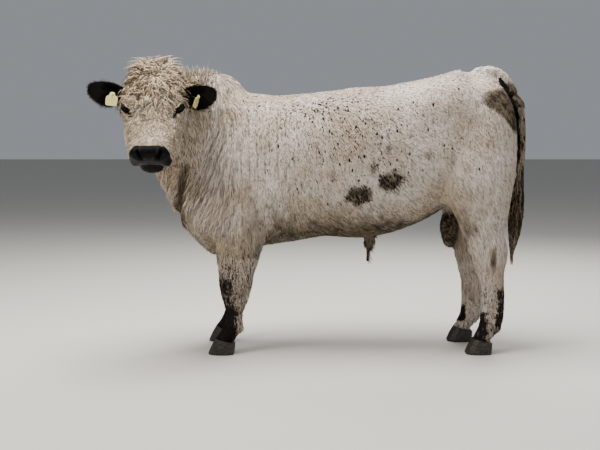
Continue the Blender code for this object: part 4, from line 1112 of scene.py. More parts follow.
# ---------------------------------------------------------------- materials
class Nodes:
    def __init__(self, name):
        self.mat = bpy.data.materials.new(name)
        self.mat.use_nodes = True
        self.tree = self.mat.node_tree
        self.tree.nodes.clear()
        self.out = self.new("ShaderNodeOutputMaterial")
        self.shader = self.new("ShaderNodeBsdfPrincipled")
        self.link(self.shader, "BSDF", self.out, "Surface")

    def new(self, kind, **settings):
        node = self.tree.nodes.new(kind)
        for k, v in settings.items():
            setattr(node, k, v)
        return node

    def link(self, a, out, b, inp):
        self.tree.links.new(a.outputs[out], b.inputs[inp])

    def attr(self, name):
        return self.new("ShaderNodeAttribute", attribute_name=name)

    def math(self, op, a, b=None, c=None, clamp=False):
        node = self.new("ShaderNodeMath", operation=op, use_clamp=clamp)
        for i, v in enumerate((a, b, c)):
            if v is None:
                continue
            if isinstance(v, tuple):
                self.tree.links.new(v[0].outputs[v[1]], node.inputs[i])
            else:
                node.inputs[i].default_value = v
        return (node, 0)

    def mix(self, factor, a, b, mode="MIX"):
        node = self.new("ShaderNodeMix", data_type="RGBA", blend_type=mode)
        for i, v in ((0, factor), (6, a), (7, b)):
            if isinstance(v, tuple) and hasattr(v[0], "outputs"):
                self.tree.links.new(v[0].outputs[v[1]], node.inputs[i])
            elif i == 0:
                node.inputs[i].default_value = v
            else:
                node.inputs[i].default_value = (*v, 1.0)
        return (node, 2)

    def noise(self, vector, scale, detail=3.0, rough=0.55):
        node = self.new("ShaderNodeTexNoise")
        self.tree.links.new(vector[0].outputs[vector[1]], node.inputs["Vector"])
        node.inputs["Scale"].default_value = scale
        node.inputs["Detail"].default_value = detail
        node.inputs["Roughness"].default_value = rough
        return (node, 0)

    def ramp(self, value, a, b):
        """0 below a, 1 above b."""
        node = self.new("ShaderNodeMapRange", interpolation_type="SMOOTHSTEP")
        self.tree.links.new(value[0].outputs[value[1]], node.inputs["Value"])
        node.inputs["From Min"].default_value = a
        node.inputs["From Max"].default_value = b
        return (node, 0)


def linear(*srgb):
    return tuple(((v / 255) / 12.92 if v / 255 <= 0.04045 else ((v / 255 + 0.055) / 1.055) ** 2.4) for v in srgb)


def coat_material(name, skin):
    """Hair colour from where the hair grows: the same rule for the skin and for every tuft."""
    n = Nodes(name)
    root = (n.attr("root"), "Vector")
    marks = n.new("ShaderNodeSeparateColor")
    n.link(n.attr("marks"), "Color", marks, "Color")
    black, fleck, stain_and_shade = (marks, 0), (marks, 1), (marks, 2)
    blond = (n.attr("marks"), "Alpha")
    shade, tip = (n.attr("shade"), "Fac"), (n.attr("tip"), "Fac")
    # root coordinates leant so that flecks run down and back, and drawn out along that way
    # and finer on the legs
    high = n.new("ShaderNodeSeparateXYZ")
    n.tree.links.new(root[0].outputs[root[1]], high.inputs[0])
    finer = n.math("ADD", 1.0, n.math("MULTIPLY", n.math("SUBTRACT", 1.0, n.ramp((high, 2), 0.44, 0.56)), 0.65))
    drawn = n.new("ShaderNodeVectorMath", operation="SCALE")
    n.tree.links.new(root[0].outputs[root[1]], drawn.inputs[0])
    n.tree.links.new(finer[0].outputs[finer[1]], drawn.inputs["Scale"])
    lean = n.new("ShaderNodeMapping")
    n.link(drawn, "Vector", lean, "Vector")
    lean.inputs["Rotation"].default_value = (0.0, math.radians(-22), 0.0)
    lean.inputs["Scale"].default_value = (1.0, 0.8, 0.52)
    wobble = n.noise(root, 28.0, 2.0)
    spots = n.new("ShaderNodeTexVoronoi", voronoi_dimensions="3D", feature="F1")
    n.link(lean, "Vector", spots, "Vector")
    spots.inputs["Scale"].default_value = 84.0
    spots.inputs["Randomness"].default_value = 1.0
    chance = n.new("ShaderNodeSeparateColor")
    n.link(spots, "Color", chance, "Color")
    # a cell is a fleck where its chance is under the local thickness; its size varies too
    has = n.math("GREATER_THAN", fleck, n.math("ADD", (chance, 0), 0.0))
    size = n.math("ADD", n.math("MULTIPLY", (chance, 1), 0.26), n.math("MULTIPLY", fleck, 0.16))
    size = n.math("ADD", size, 0.15)
    size = n.math("ADD", size, n.math("MULTIPLY", n.math("SUBTRACT", wobble, 0.5), 0.30))
    dot = n.ramp(n.math("SUBTRACT", size, (spots, "Distance")), -0.03, 0.06)
    flecked = n.math("MULTIPLY", has, dot)
    small = n.new("ShaderNodeTexVoronoi", voronoi_dimensions="3D", feature="F1")
    n.link(lean, "Vector", small, "Vector")
    small.inputs["Scale"].default_value = 122.0
    luck = n.new("ShaderNodeSeparateColor")
    n.link(small, "Color", luck, "Color")
    more = n.math("GREATER_THAN", n.math("MULTIPLY", fleck, 0.85), (luck, 0))
    speck = n.math("MULTIPLY", more, n.ramp(n.math("SUBTRACT", n.math("ADD", n.math("MULTIPLY", (luck, 1), 0.22), 0.22), (small, "Distance")), -0.03, 0.06))
    flecked = n.math("MAXIMUM", flecked, n.math("MULTIPLY", speck, n.math("ADD", n.math("MULTIPLY", (luck, 2), 0.5), 0.45)))
    # roan hair: single dark hairs where the fleck thickness is high
    fine = n.noise(root, 420.0, 1.0)
    roan = n.math("MULTIPLY", n.ramp(fine, 0.52, 0.60), n.math("MULTIPLY", fleck, 0.55))
    ragged = n.math("ADD", black, n.math("MULTIPLY", n.math("SUBTRACT", n.noise(root, 70.0, 4.0), 0.5), 0.9))
    solid = n.ramp(ragged, 0.42, 0.60)
    solid = n.math("MULTIPLY", solid, n.ramp(black, 0.04, 0.16))
    dark = n.math("MAXIMUM", solid, n.math("MAXIMUM", n.math("MULTIPLY", flecked, 1.0), roan), clamp=True)
    # ground colour
    broad = n.noise(root, 5.0, 4.0)
    streak = n.new("ShaderNodeMapping")
    n.tree.links.new(root[0].outputs[root[1]], streak.inputs["Vector"])
    streak.inputs["Scale"].default_value = (1.0, 1.0, 0.22)
    fibre = n.noise((streak, 0), 95.0, 3.0)
    white, cream, grey = linear(213, 203, 194), linear(188, 173, 156), linear(130, 117, 106)
    base = n.mix(n.ramp(broad, 0.35, 0.68), white, cream)
    base = n.mix(n.math("MULTIPLY", n.ramp(fibre, 0.48, 0.68), 0.55), base, grey)
    curl = n.noise(root, 46.0, 3.0)
    warm = n.mix(n.ramp(n.math("ADD", n.math("MULTIPLY", curl, 0.40), n.math("MULTIPLY", shade, 0.60)), 0.34, 0.72), linear(104, 84, 62), linear(230, 211, 182))
    base = n.mix(n.math("MULTIPLY", blond, 0.85), base, warm)
    # mud stains and the painted shade of folds, grooves and belly share these brown-grey colours, broken up by noise
    mud_and_shade = n.mix(n.ramp(n.noise(root, 33.0, 4.0), 0.42, 0.62), linear(126, 114, 96), linear(66, 59, 48))
    dirt_and_shade = n.math("ADD", stain_and_shade, n.math("MULTIPLY", n.math("SUBTRACT", n.noise(root, 24.0, 5.0), 0.5), 0.7))
    base = n.mix(n.math("MULTIPLY", n.ramp(dirt_and_shade, 0.20, 0.75), n.ramp(stain_and_shade, 0.02, 0.15)), base, mud_and_shade)
    # each tuft a little lighter or darker; painted shade, dark at the root where the coat shades itself, pale at the
    # tip
    tone = n.math("ADD", n.math("MULTIPLY", shade, 0.78), 0.55)
    tone = n.math("MULTIPLY", tone, n.math("ADD", n.math("MULTIPLY", tip, 0.26), 0.80 if not skin else 0.86))
    node = n.new("ShaderNodeVectorMath", operation="SCALE")
    n.tree.links.new(base[0].outputs[base[1]], node.inputs[0])
    n.tree.links.new(tone[0].outputs[tone[1]], node.inputs["Scale"])
    blackish = n.mix(shade, linear(20, 18, 18), linear(46, 40, 36))
    colour = n.mix(dark, (node, 0), blackish)
    n.tree.links.new(colour[0].outputs[colour[1]], n.shader.inputs["Base Color"])
    n.shader.inputs["Roughness"].default_value = 0.62
    n.shader.inputs["Specular IOR Level"].default_value = 0.20
    if skin:
        # bare wet skin on the muzzle and the lids
        bare = n.ramp((n.attr("bare"), "Fac"), 0.3, 0.5)
        hide = n.mix(n.noise(root, 160.0, 3.0), linear(8, 7, 9), linear(20, 18, 21))
        colour = n.mix(bare, colour, hide)
        n.tree.links.new(colour[0].outputs[colour[1]], n.shader.inputs["Base Color"])
        rough = n.math("SUBTRACT", 0.66, n.math("MULTIPLY", n.ramp((n.attr("bare"), "Fac"), 0.75, 0.95), 0.28))
        n.tree.links.new(rough[0].outputs[rough[1]], n.shader.inputs["Roughness"])
        pebble = n.new("ShaderNodeTexVoronoi", feature="SMOOTH_F1")
        n.tree.links.new(root[0].outputs[root[1]], pebble.inputs["Vector"])
        pebble.inputs["Scale"].default_value = 330.0
        height = n.math("MULTIPLY", n.math("SUBTRACT", 1.0, (pebble, "Distance")), bare)
        hair = n.noise((streak, 0), 240.0, 2.0)
        height = n.math("ADD", n.math("MULTIPLY", height, 0.5), n.math("MULTIPLY", hair, n.math("SUBTRACT", 1.0, bare)))
        bump = n.new("ShaderNodeBump")
        bump.inputs["Strength"].default_value = 0.55
        bump.inputs["Distance"].default_value = 0.0025
        n.tree.links.new(height[0].outputs[height[1]], bump.inputs["Height"])
        n.link(bump, "Normal", n.shader, "Normal")
    return n.mat


def plain(name, srgb, rough, bump=0.0, scale=200.0, stretch=(1, 1, 1), second=None, coat=0.0):
    n = Nodes(name)
    where = n.new("ShaderNodeTexCoord")
    mapped = n.new("ShaderNodeMapping")
    n.link(where, "Object", mapped, "Vector")
    mapped.inputs["Scale"].default_value = stretch
    grain = n.noise((mapped, 0), scale, 3.0)
    colour = n.mix(n.ramp(grain, 0.35, 0.65), linear(*srgb), linear(*(second or srgb)))
    n.tree.links.new(colour[0].outputs[colour[1]], n.shader.inputs["Base Color"])
    n.shader.inputs["Roughness"].default_value = rough
    n.shader.inputs["Coat Weight"].default_value = coat
    n.shader.inputs["Coat Roughness"].default_value = 0.05
    if bump:
        node = n.new("ShaderNodeBump")
        node.inputs["Strength"].default_value = 0.5
        node.inputs["Distance"].default_value = bump
        n.tree.links.new(grain[0].outputs[grain[1]], node.inputs["Height"])
        n.link(node, "Normal", n.shader, "Normal")
    return n.mat


# ---------------------------------------------------------------- small pieces
def add(name, mesh, material, replaces=None, smooth=True):
    place(mesh, coords(mesh) + OFFSET)
    mesh.materials.clear()
    mesh.materials.append(material)
    if smooth:
        mesh.polygons.foreach_set("use_smooth", np.ones(len(mesh.polygons), dtype=bool))
    ob = put(name, mesh)
    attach(ob, "root")
    if replaces:
        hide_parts(*replaces)
    return ob


def grid_mesh(name, rows, closed=True, ends=True):
    """Rings of points, each a list of the same length, joined to a skin; ends closed with a fan."""
    rows = [np.asarray(r) for r in rows]
    k = len(rows[0])
    verts = np.concatenate(rows)
    faces = []
    for i in range(len(rows) - 1):
        for j in range(k if closed else k - 1):
            a, b = i * k + j, i * k + (j + 1) % k
            faces.append((a, b, b + k, a + k))
    if ends:
        for i, flip in ((0, True), (len(rows) - 1, False)):
            middle = len(verts)
            verts = np.concatenate([verts, rows[i].mean(0)[None]])
            for j in range(k):
                a, b = i * k + j, i * k + (j + 1) % k
                faces.append((b, a, middle) if flip else (a, b, middle))
    mesh = bpy.data.meshes.new(name)
    mesh.from_pydata([tuple(v) for v in verts], [], faces)
    bm = bmesh.new()
    bm.from_mesh(mesh)
    bmesh.ops.recalc_face_normals(bm, faces=bm.faces)
    bpy.data.meshes.remove(mesh)
    return from_bm(bm, name)


def eye_pieces(glossy, rim):
    for side, name in ((-1, "right"), (1, "left")):
        # EYE is stated for the positive side, which stands on the image's right: the bull's left
        centre = from_head(np.array([EYE[0] * side, EYE[1], EYE[2]]))
        bm = bmesh.new()
        bmesh.ops.create_uvsphere(bm, u_segments=48, v_segments=32, radius=EYE_RADIUS)
        out = np.array([EYE_OUT[0] * side, EYE_OUT[1], EYE_OUT[2]])
        h = np.array([EYE_H[0] * side, EYE_H[1], EYE_H[2]])
        v = np.array([EYE_V[0] * side, EYE_V[1], EYE_V[2]])
        axes = np.stack([HEAD_M @ h, HEAD_M @ v, HEAD_M @ out], 1)
        if np.linalg.det(axes) < 0:
            axes[:, 0] *= -1
        for vert in bm.verts:
            u = np.array(vert.co)
            bulge = 0.0012 * max(0.0, (u[2] / EYE_RADIUS - 0.78) / 0.22)
            vert.co = Vector(centre + axes @ (u * (1 + bulge / EYE_RADIUS)))
        mesh = from_bm(bm, f"eyeball_{name}")
        local = (coords(mesh) - centre) @ axes
        at = mesh.attributes.new("local", "FLOAT_VECTOR", "POINT")
        at.data.foreach_set("vector", np.ascontiguousarray(local / EYE_RADIUS, dtype=np.float32).ravel())
        add(f"eyeball_{name}", mesh, glossy, [f"eye_{name}"])


def eye_material():
    n = Nodes("eye")
    at = (n.attr("local"), "Vector")
    sep = n.new("ShaderNodeSeparateXYZ")
    n.tree.links.new(at[0].outputs[at[1]], sep.inputs[0])
    u = n.math("DIVIDE", (sep, 0), 0.46)
    v = n.math("DIVIDE", (sep, 1), 0.30)
    r = n.math("SQRT", n.math("ADD", n.math("MULTIPLY", u, u), n.math("MULTIPLY", v, v)))
    pupil = n.math("SUBTRACT", 1.0, n.ramp(r, 0.85, 1.10))
    iris_r = n.math("SQRT", n.math("ADD", n.math("MULTIPLY", (sep, 0), (sep, 0)), n.math("MULTIPLY", (sep, 1), (sep, 1))))
    white = n.ramp(iris_r, 0.84, 0.92)
    fibres = n.noise(at, 14.0, 3.0)
    iris = n.mix(fibres, linear(20, 12, 9), linear(44, 27, 17))
    colour = n.mix(pupil, iris, linear(6, 6, 9))
    colour = n.mix(white, colour, linear(84, 62, 54))
    n.tree.links.new(colour[0].outputs[colour[1]], n.shader.inputs["Base Color"])
    n.shader.inputs["Roughness"].default_value = 0.16
    n.shader.inputs["Specular IOR Level"].default_value = 0.35
    n.shader.inputs["Coat Weight"].default_value = 0.25
    n.shader.inputs["Coat Roughness"].default_value = 0.06
    return n.mat


def claw_pieces(material):
    """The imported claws, with rounder edges and rings of growth."""
    for ob in [o for o in bpy.data.objects if o.name.startswith("claw_")]:
        src = ob.data.copy()
        src.transform(ob.matrix_world)
        place(src, coords(src) - OFFSET)
        mesh = with_modifier(src, "BEVEL", width=0.004, segments=2, limit_method="ANGLE", angle_limit=math.radians(25))
        mesh = with_modifier(mesh, "SUBSURF", levels=2, render_levels=2, subdivision_type="SIMPLE")
        p, nrm = coords(mesh), normals(mesh)
        mid = p.mean(0)
        ring = np.sin((p[:, 2] + 0.28 * (p[:, 0] - mid[0])) * 2 * math.pi / 0.0085)
        p = p + nrm * (0.0006 * ring * step(p[:, 2], 0.012, 0.02))[:, None]
        p[:, 2] = np.maximum(p[:, 2], 0.0)
        place(mesh, p)
        add("horn_" + ob.name[5:], mesh, material, [ob.name])


def ear_shape(name, root, tip, face):
    """A cupped leaf: the opening looks along face, the edges roll in near the root."""
    root, tip = np.array(root), np.array(tip)
    along = unit(tip - root)
    length = np.linalg.norm(tip - root)
    out = unit(np.array(face) - along * np.dot(along, face))
    across = np.cross(out, along)
    if across[2] < 0:
        across = -across
    rows = []
    ts = np.concatenate([np.linspace(-0.06, 0.90, 26), 0.90 + 0.10 * np.sin(np.linspace(0, math.pi / 2, 9)[1:])])
    k = 25
    for t in ts:
        half = np.interp(t, EAR_T, EAR_HALF)
        roll = 1.15 * (1 - step(t, 0.0, 0.55)) + 0.50
        centre = root + along * length * t + np.array((0, 0, -0.012)) * math.sin(min(max(t, 0), 1) * math.pi) * 0.8
        inner, outer = [], []
        for i in range(k):
            u = -1 + 2 * i / (k - 1)
            a = u * roll
            w = half * math.sin(a) / math.sin(min(roll, 1.5)) if roll > 0.1 else half * u
            dip = half * 0.72 * (math.cos(a) - math.cos(roll)) / max(1 - math.cos(roll), 0.2) * min(1.0, roll)
            thick = 0.0032 * (1 - 0.6 * abs(u) ** 3) * (1 - 0.5 * max(t, 0) ** 3)
            c = centre + across * w - out * dip
            inner.append(c + out * thick)
            outer.append(c - out * thick)
        rows.append(np.array(inner + outer[::-1]))
    return grid_mesh(name, rows), along, out, across


EAR_T = np.array((-0.06, 0.05, 0.20, 0.40, 0.60, 0.80, 0.92, 0.97, 1.0))
EAR_HALF = np.array((0.026, 0.031, 0.046, 0.056, 0.055, 0.044, 0.029, 0.019, 0.003))


def rounded_plate(w, h, t, corner, segments=5):
    """A flat flag in x and z, narrower at its neck, with round corners and softened rims."""
    shape = ((w / 2, h * 0.16), (w * 0.24, h * 0.26), (w * 0.21, h / 2), (-w * 0.21, h / 2), (-w * 0.24, h * 0.26), (-w / 2, h * 0.16), (-w * 0.47, -h / 2), (w * 0.47, -h / 2))
    outline = []
    for i, here in enumerate(shape):
        here, a, b = np.array(here), np.array(shape[i - 1]), np.array(shape[(i + 1) % len(shape)])
        r = corner * (0.45 if i in (1, 4) else 1.0)
        first, last = here + unit(a - here) * r, here + unit(b - here) * r
        for k in range(segments + 1):
            f = k / segments
            outline.append(first * (1 - f) ** 2 + here * 2 * f * (1 - f) + last * f * f)
    outline = np.array(outline)
    rows = []
    for inset, y in ((0.0008, -t / 2), (0.0, -t / 2 + 0.0006), (0.0, t / 2 - 0.0006), (0.0008, t / 2)):
        o = outline * (1 - 2 * inset / np.array((w, h)))
        rows.append(np.stack([o[:, 0], np.full(len(o), y), o[:, 1]], 1))
    return rows


def tag_pieces(material, stud_material):
    for name, spec in TAGS.items():
        centre, up, face = (np.array(v, dtype=float) for v in spec[:3])
        y = -unit(face)
        zz = unit(up - y * np.dot(up, y))
        xx = np.cross(y, zz)
        m = np.stack([xx, y, zz], 1)
        w, h, t = TAG_SIZE
        rows = [r @ m.T + centre for r in rounded_plate(w, h, t, 0.010)]
        flag = grid_mesh(name + "_flag", rows)
        bm = bmesh.new()
        bm.from_mesh(flag)
        for z0, r, depth in ((h / 2 - 0.010, 0.0075, 0.0070),):
            mm = Matrix(np.stack([xx, zz, -y], 1).tolist()).to_4x4()
            mm.translation = Vector(centre + zz * z0 - y * (depth / 2))
            bmesh.ops.create_cone(bm, cap_ends=True, segments=28, radius1=r, radius2=r * 0.72, depth=depth, matrix=mm)
        add("flag_" + name, from_bm(bm, "flag"), material, [name], smooth=False)
        bpy.data.meshes.remove(flag)


# ---------------------------------------------------------------- tail
def tail_core(material):
    t = unit(np.gradient(TAIL_C, axis=0))
    ref = np.array((0.0, 1.0, 0.0))
    s = unit(np.cross(t, ref))
    u = np.cross(s, t)
    z = TAIL_C[:, 2]
    thin = TAIL_R * (1 - 0.45 * step(0.86 - z, 0.0, 0.12)) - 0.005
    thin = np.maximum(thin, 0.006)
    a = np.linspace(0, 2 * math.pi, 25)[:-1]
    rows = [c + (s[i] * np.cos(a)[:, None] + u[i] * np.sin(a)[:, None]) * thin[i] for i, c in enumerate(TAIL_C)]
    mesh = grid_mesh("tail_core", rows)
    unwrap(mesh)
    return mesh, t


def tail_marks(p):
    """White behind and black in front on the dock, blond between black on the switch."""
    x, y, z = p.T
    middle = np.interp(-z, -TAIL_C[:, 0 + 2], TAIL_C[:, 0])
    r = np.interp(-z, -TAIL_C[:, 2], TAIL_R)
    rel = (x - middle) / r
    high = step(z, 0.84, 0.98)
    dock = 1 - step(rel + 0.12 * np.sin(z * 60), -0.45, 0.05)
    lock = 0.78 * step(np.abs(rel + 0.18 * np.sin(z * 47 + y * 60)), 0.42, 0.66) + 0.12
    black = dock * high + lock * (1 - high)
    blond = 0.15 * high + 1.0 * (1 - high)
    stain_and_shade = 0.55 * (1 - high)
    return np.stack([np.clip(black, 0, 1), 0.25 * high, stain_and_shade + 0 * z, blond + 0 * z], 1)


# ---------------------------------------------------------------- build
def nearest(surface, points):
    tree, sp, sn = surface
    idx = np.array([tree.find(c)[1] for c in points])
    return sp[idx], sn[idx]


def surface_of(mesh, every=1):
    p, n = coords(mesh), normals(mesh)
    p, n = p[::every], n[::every]
    tree = KDTree(len(p))
    for i, c in enumerate(p):
        tree.insert(c, i)
    tree.balance()
    return tree, p, n


def places(mesh, mask):
    """Looks up where on the unwrap a point of the mesh lies, among the vertices of the mask."""
    corner = np.empty(len(mesh.loops), dtype=np.int32)
    mesh.loops.foreach_get("vertex_index", corner)
    flat = np.empty(len(mesh.loops) * 2, dtype=np.float32)
    mesh.uv_layers["OFBake"].data.foreach_get("uv", flat)
    uv = np.zeros((len(mesh.vertices), 2))
    uv[corner] = flat.reshape(-1, 2)
    p = coords(mesh)
    which = np.where(mask)[0]
    tree = KDTree(len(which))
    for k, i in enumerate(which):
        tree.insert(p[i], k)
    tree.balance()
    return lambda points: uv[which[[tree.find(c)[1] for c in points]]]


def region(p, hw):
    """Where each kind of hair stands, as weights on the skin's points."""
    x, y, z = p.T
    q = to_head(p)
    m = both(q)
    s, a, d = m.T
    r_eye = np.linalg.norm(m - EYE, axis=1)
    lidded = step(lid_ellipse(m), 1.20, 1.45)
    hw = (hw > 0.5).astype(float)
    pad = pad_mask(m, 0.001)
    poll = hw * step(0.125 - a, 0.0, 0.05) * step(d, -0.12, -0.05)
    brow = hw * step(0.20 - a, 0.0, 0.05) * step(d, -0.10, -0.06) * step(0.085 - s, 0.0, 0.03)
    clear = np.where(s > 0.060, step(r_eye, 0.040, 0.058), 1.0)
    waves = hw * step(0.285 - a, 0.0, 0.09) * step(a, 0.06, 0.11) * step(d, -0.09, -0.05) * clear * (0.35 + 0.65 * step(0.100 - s, 0.0, 0.05))
    face = hw * (1 - pad) * lidded * (1 - 0.9 * poll)
    legs = (1 - hw) * step(0.50 - z, 0.0, 0.08) * ((np.abs(y) > 0.09) | (z < 0.42))
    hang = step(0.066 - np.hypot(x - 0.688, y), 0.0, 0.01) * step(0.66 - z, 0.0, 0.02)
    neck = (1 - hw) * step(-x, 0.30, 0.42) * step(z, 0.56, 0.66)
    body = (1 - hw) * (1 - legs) * (1 - neck) * (1 - 0.75 * hang) * step(z, 0.012, 0.02)
    above_claw = step(z, 0.062, 0.072)
    return {"face": face, "brow": waves, "poll": np.maximum(poll, 0.50 * brow) * clear, "legs": legs * above_claw, "neck": neck, "body": body * above_claw, "crest": neck * step(z, 1.17, 1.26) * step(n_up(p), 0.2, 0.6)}


def n_up(p):
    return np.ones(len(p))


def bare_skin(p, hw):
    q = to_head(p)
    m = both(q)
    s, a, d = m.T
    pad = pad_mask(m, 0.003)
    lids = 1 - step(lid_ellipse(m), 1.30, 1.55)
    return np.maximum(pad, 0.6 * lids) * (hw > 0.2)


def number(full):
    return max(40, int(full * (1.0)))


def main():
    skin_mat, hair_mat = coat_material("hide", True), coat_material("hair", False)
    mesh = build_skin()
    mesh.calc_loop_triangles()
    print("SKIN", len(mesh.loop_triangles))
    p = coords(mesh)
    hw = head_weight(p)
    marks = markings(p, hw)
    rng = np.random.default_rng(11)
    put_attributes(mesh, p, marks, np.full(len(p), 0.5), np.full(len(p), 0.35))
    at = mesh.attributes.new("bare", "FLOAT", "POINT")
    at.data.foreach_set("value", bare_skin(p, hw).astype(np.float32))
    weights = region(p, hw)
    surface = surface_of(mesh, 2)

    def tufts(name, weight, count, seed, length, width, lift, rings, jitter=0.16, wave=0.0, wavelength=0.05, follow=False, thick=0.45,
              sink=0.0015, droop=0.35, turn=None, keep=None, spread=0.30, streak=0.030, contrast=1.0):
        roots = Roots(mesh, weight, number(count), seed)
        if keep is not None:
            roots.keep(keep(roots.p))
        h = head_weight(roots.p)
        d = lie(roots.p, roots.n, h)
        if turn is not None:
            d = turn(roots.p, roots.n, d, roots.rng)
        d = mixed_direction(d, roots.n, jitter, roots.rng)
        grow = (1.0)
        var = np.clip(roots.rng.normal(1.0, spread, roots.count), 0.5, 1.7)
        ln = (length(roots.p) if callable(length) else np.full(roots.count, length)) * var
        wd = (width(roots.p) if callable(width) else np.full(roots.count, width)) * np.clip(roots.rng.normal(1, 0.2, roots.count), 0.6, 1.5) * grow
        # streaks of clumped hair: tufts on the ridges longer and higher, those in the grooves lower and darker; partly
        # tone that varies, partly painted shade
        band = streaks(roots.p, d, streak, 5)
        ln = ln * (0.86 + 0.28 * band)
        lf = (lift * (0.45 + 1.1 * band) * np.clip(roots.rng.normal(1.0, 0.35, roots.count), 0.2, 2.2))[:, None]
        path = lay(roots, d, ln, lf[:, 0], rings, droop=droop, wave=wave, wavelength=wavelength, surface=surface if follow else None, sink=sink)
        side, up = frames(path, roots.n)
        mk = markings(roots.p, h)
        tuft_mesh(name, path, side, up, wd / 2, wd * thick, roots.p, roots.uv, np.clip(0.51 + contrast * (0.62 * (band - 0.5) + 0.34 * (roots.rng.random(roots.count) - 0.5)), 0, 1), mk, hair_mat)
        return roots

    def body_length(q):
        x, y, z = q.T
        return 0.021 + 0.010 * step(0.70 - z, 0.0, 0.12) - 0.004 * step(z, 1.10, 1.25)

    tufts("hair_body", weights["body"], 31000, 21, body_length, 0.0040, 0.085, 2, jitter=0.11, thick=0.34, droop=0.55, sink=0.0012, contrast=1.5, streak=0.034)
    tufts("hair_leg", weights["legs"], 9000, 22, 0.019, 0.0030, 0.10, 2, jitter=0.10, thick=0.36, sink=0.0010)
    tufts("hair_body_fine", weights["body"], 13000, 26, lambda q: 0.8 * body_length(q), 0.0030, 0.095, 1, jitter=0.14, thick=0.36, droop=0.3, sink=0.0010, contrast=1.7, streak=0.034)
    tufts("hair_leg_fine", weights["legs"], 9000, 27, 0.015, 0.0024, 0.10, 1, jitter=0.14, thick=0.38, sink=0.0008)
    small = weights["face"]
    tufts("hair_face", small, 21000, 23, lambda q: face_length(q), lambda q: 0.0017 + 0.0008 * step(-to_head(q)[:, 2], 0.08, 0.16), 0.12, 1, jitter=0.15, sink=0.0006, streak=0.016, contrast=1.6)
    tufts("hair_face_locks", small, 11000, 28, lambda q: 1.45 * face_length(q), lambda q: 0.0027 + 0.0008 * step(-to_head(q)[:, 2], 0.08, 0.16), 0.17, 2, jitter=0.20, sink=0.0006, streak=0.018, contrast=3.2, droop=0.45)
    forehead(mesh, weights["brow"], hair_mat)

    def neck_turn(q, n, d, rg):
        swing = 0.08 * np.sin(q[:, 2] * 21 + q[:, 0] * 9) + 0.06 * np.sin(q[:, 2] * 37 - q[:, 0] * 23 + 1.3)
        return unit(d * np.cos(swing)[:, None] + np.cross(n, d) * np.sin(swing)[:, None])

    tufts("hair_neck", weights["neck"], 7000, 24, 0.058, 0.0050, 0.070, 5, jitter=0.09, wave=0.0022, wavelength=0.046, follow=True, turn=neck_turn, spread=0.28, thick=0.36, streak=0.040, contrast=1.7)
    tufts("hair_neck_under", weights["neck"], 7000, 25, 0.028, 0.0038, 0.08, 2, jitter=0.12, thick=0.36, streak=0.040, contrast=1.4)
    curls(mesh, weights["poll"], hair_mat)
    crest(mesh, hair_mat)
    around_eyes = np.linalg.norm(both(to_head(p)) - EYE, axis=1) < 0.05
    lashes(hair_mat, places(mesh, around_eyes))
    add("skin", mesh, skin_mat, [n for n in FLESH])

    core, _ = tail_core(hair_mat)
    q = coords(core)
    switch(hair_mat, places(core, np.ones(len(q), dtype=bool)))
    put_attributes(core, q, tail_marks(q), np.full(len(q), 0.4), np.full(len(q), 0.3))
    add("tail_core", core, hair_mat, ["tail_dock", "tail_middle", "tail_switch"])

    eye_pieces(eye_material(), None)
    claw_pieces(plain("horn", (74, 66, 58), 0.45, 0.0006, 60.0, (1, 1, 4), (40, 36, 33)))
    ears(hair_mat)
    tag_pieces(plain("tag", (226, 219, 160), 0.42, 0.0, 40.0, (1, 1, 1), (218, 210, 146)), None)
    studio()


def forehead(mesh, weight, material):
    """Wavy flat locks that fan out and down from the middle of the brow to below the eyes."""
    roots = Roots(mesh, weight, number(3600), 35)
    rg = roots.rng
    q = to_head(roots.p)
    s, a, d = q.T
    n = roots.n
    out = unit(np.stack([s * 1.3, (a - 0.09) * 1.2, 0.0 * s], 1) + 1e-4) @ HEAD_M.T
    turn = 0.5 * np.sin(a * 70 + s * 55) + 0.4 * np.sin(a * 38 - s * 90 + 1.0) + rg.normal(0, 0.22, roots.count)
    out = unit(out - n * np.einsum("ij,ij->i", out, n)[:, None])
    out = unit(out * np.cos(turn)[:, None] + np.cross(n, out) * np.sin(turn)[:, None])
    ln = (0.020 + 0.018 * step(0.25 - a, 0.0, 0.14)) * np.clip(rg.normal(1, 0.25, roots.count), 0.5, 1.6)
    path = lay(roots, out, ln, 0.20 * np.clip(rg.normal(1, 0.4, roots.count), 0.3, 2.0), 5, droop=0.45, wave=0.0034, wavelength=0.026, sink=0.0008)
    sd, u = frames(path, n)
    wd = 0.0034 * np.clip(rg.normal(1, 0.25, roots.count), 0.5, 1.6) * 1.0
    mk = markings(roots.p, np.ones(roots.count))
    tone = 0.60 + 1.4 * (streaks(roots.p, out, 0.020, 19) - 0.5) + 0.55 * (rg.random(roots.count) - 0.5)
    tuft_mesh("forehead_locks", path, sd, u, wd / 2, wd * 0.40, roots.p, roots.uv, np.clip(tone, 0, 1), mk, material)


def face_length(q):
    m = both(to_head(q))
    s, a, d = m.T
    ln = 0.010 + 0.009 * step(0.26 - a, 0.0, 0.14) + 0.008 * step(-d, 0.10, 0.16) * step(0.34 - a, 0.0, 0.1)
    near_eye = np.linalg.norm(m - EYE, axis=1)
    return ln * (0.45 + 0.55 * step(near_eye, 0.024, 0.045)) * (1 - 0.3 * step(a, 0.34, 0.38))


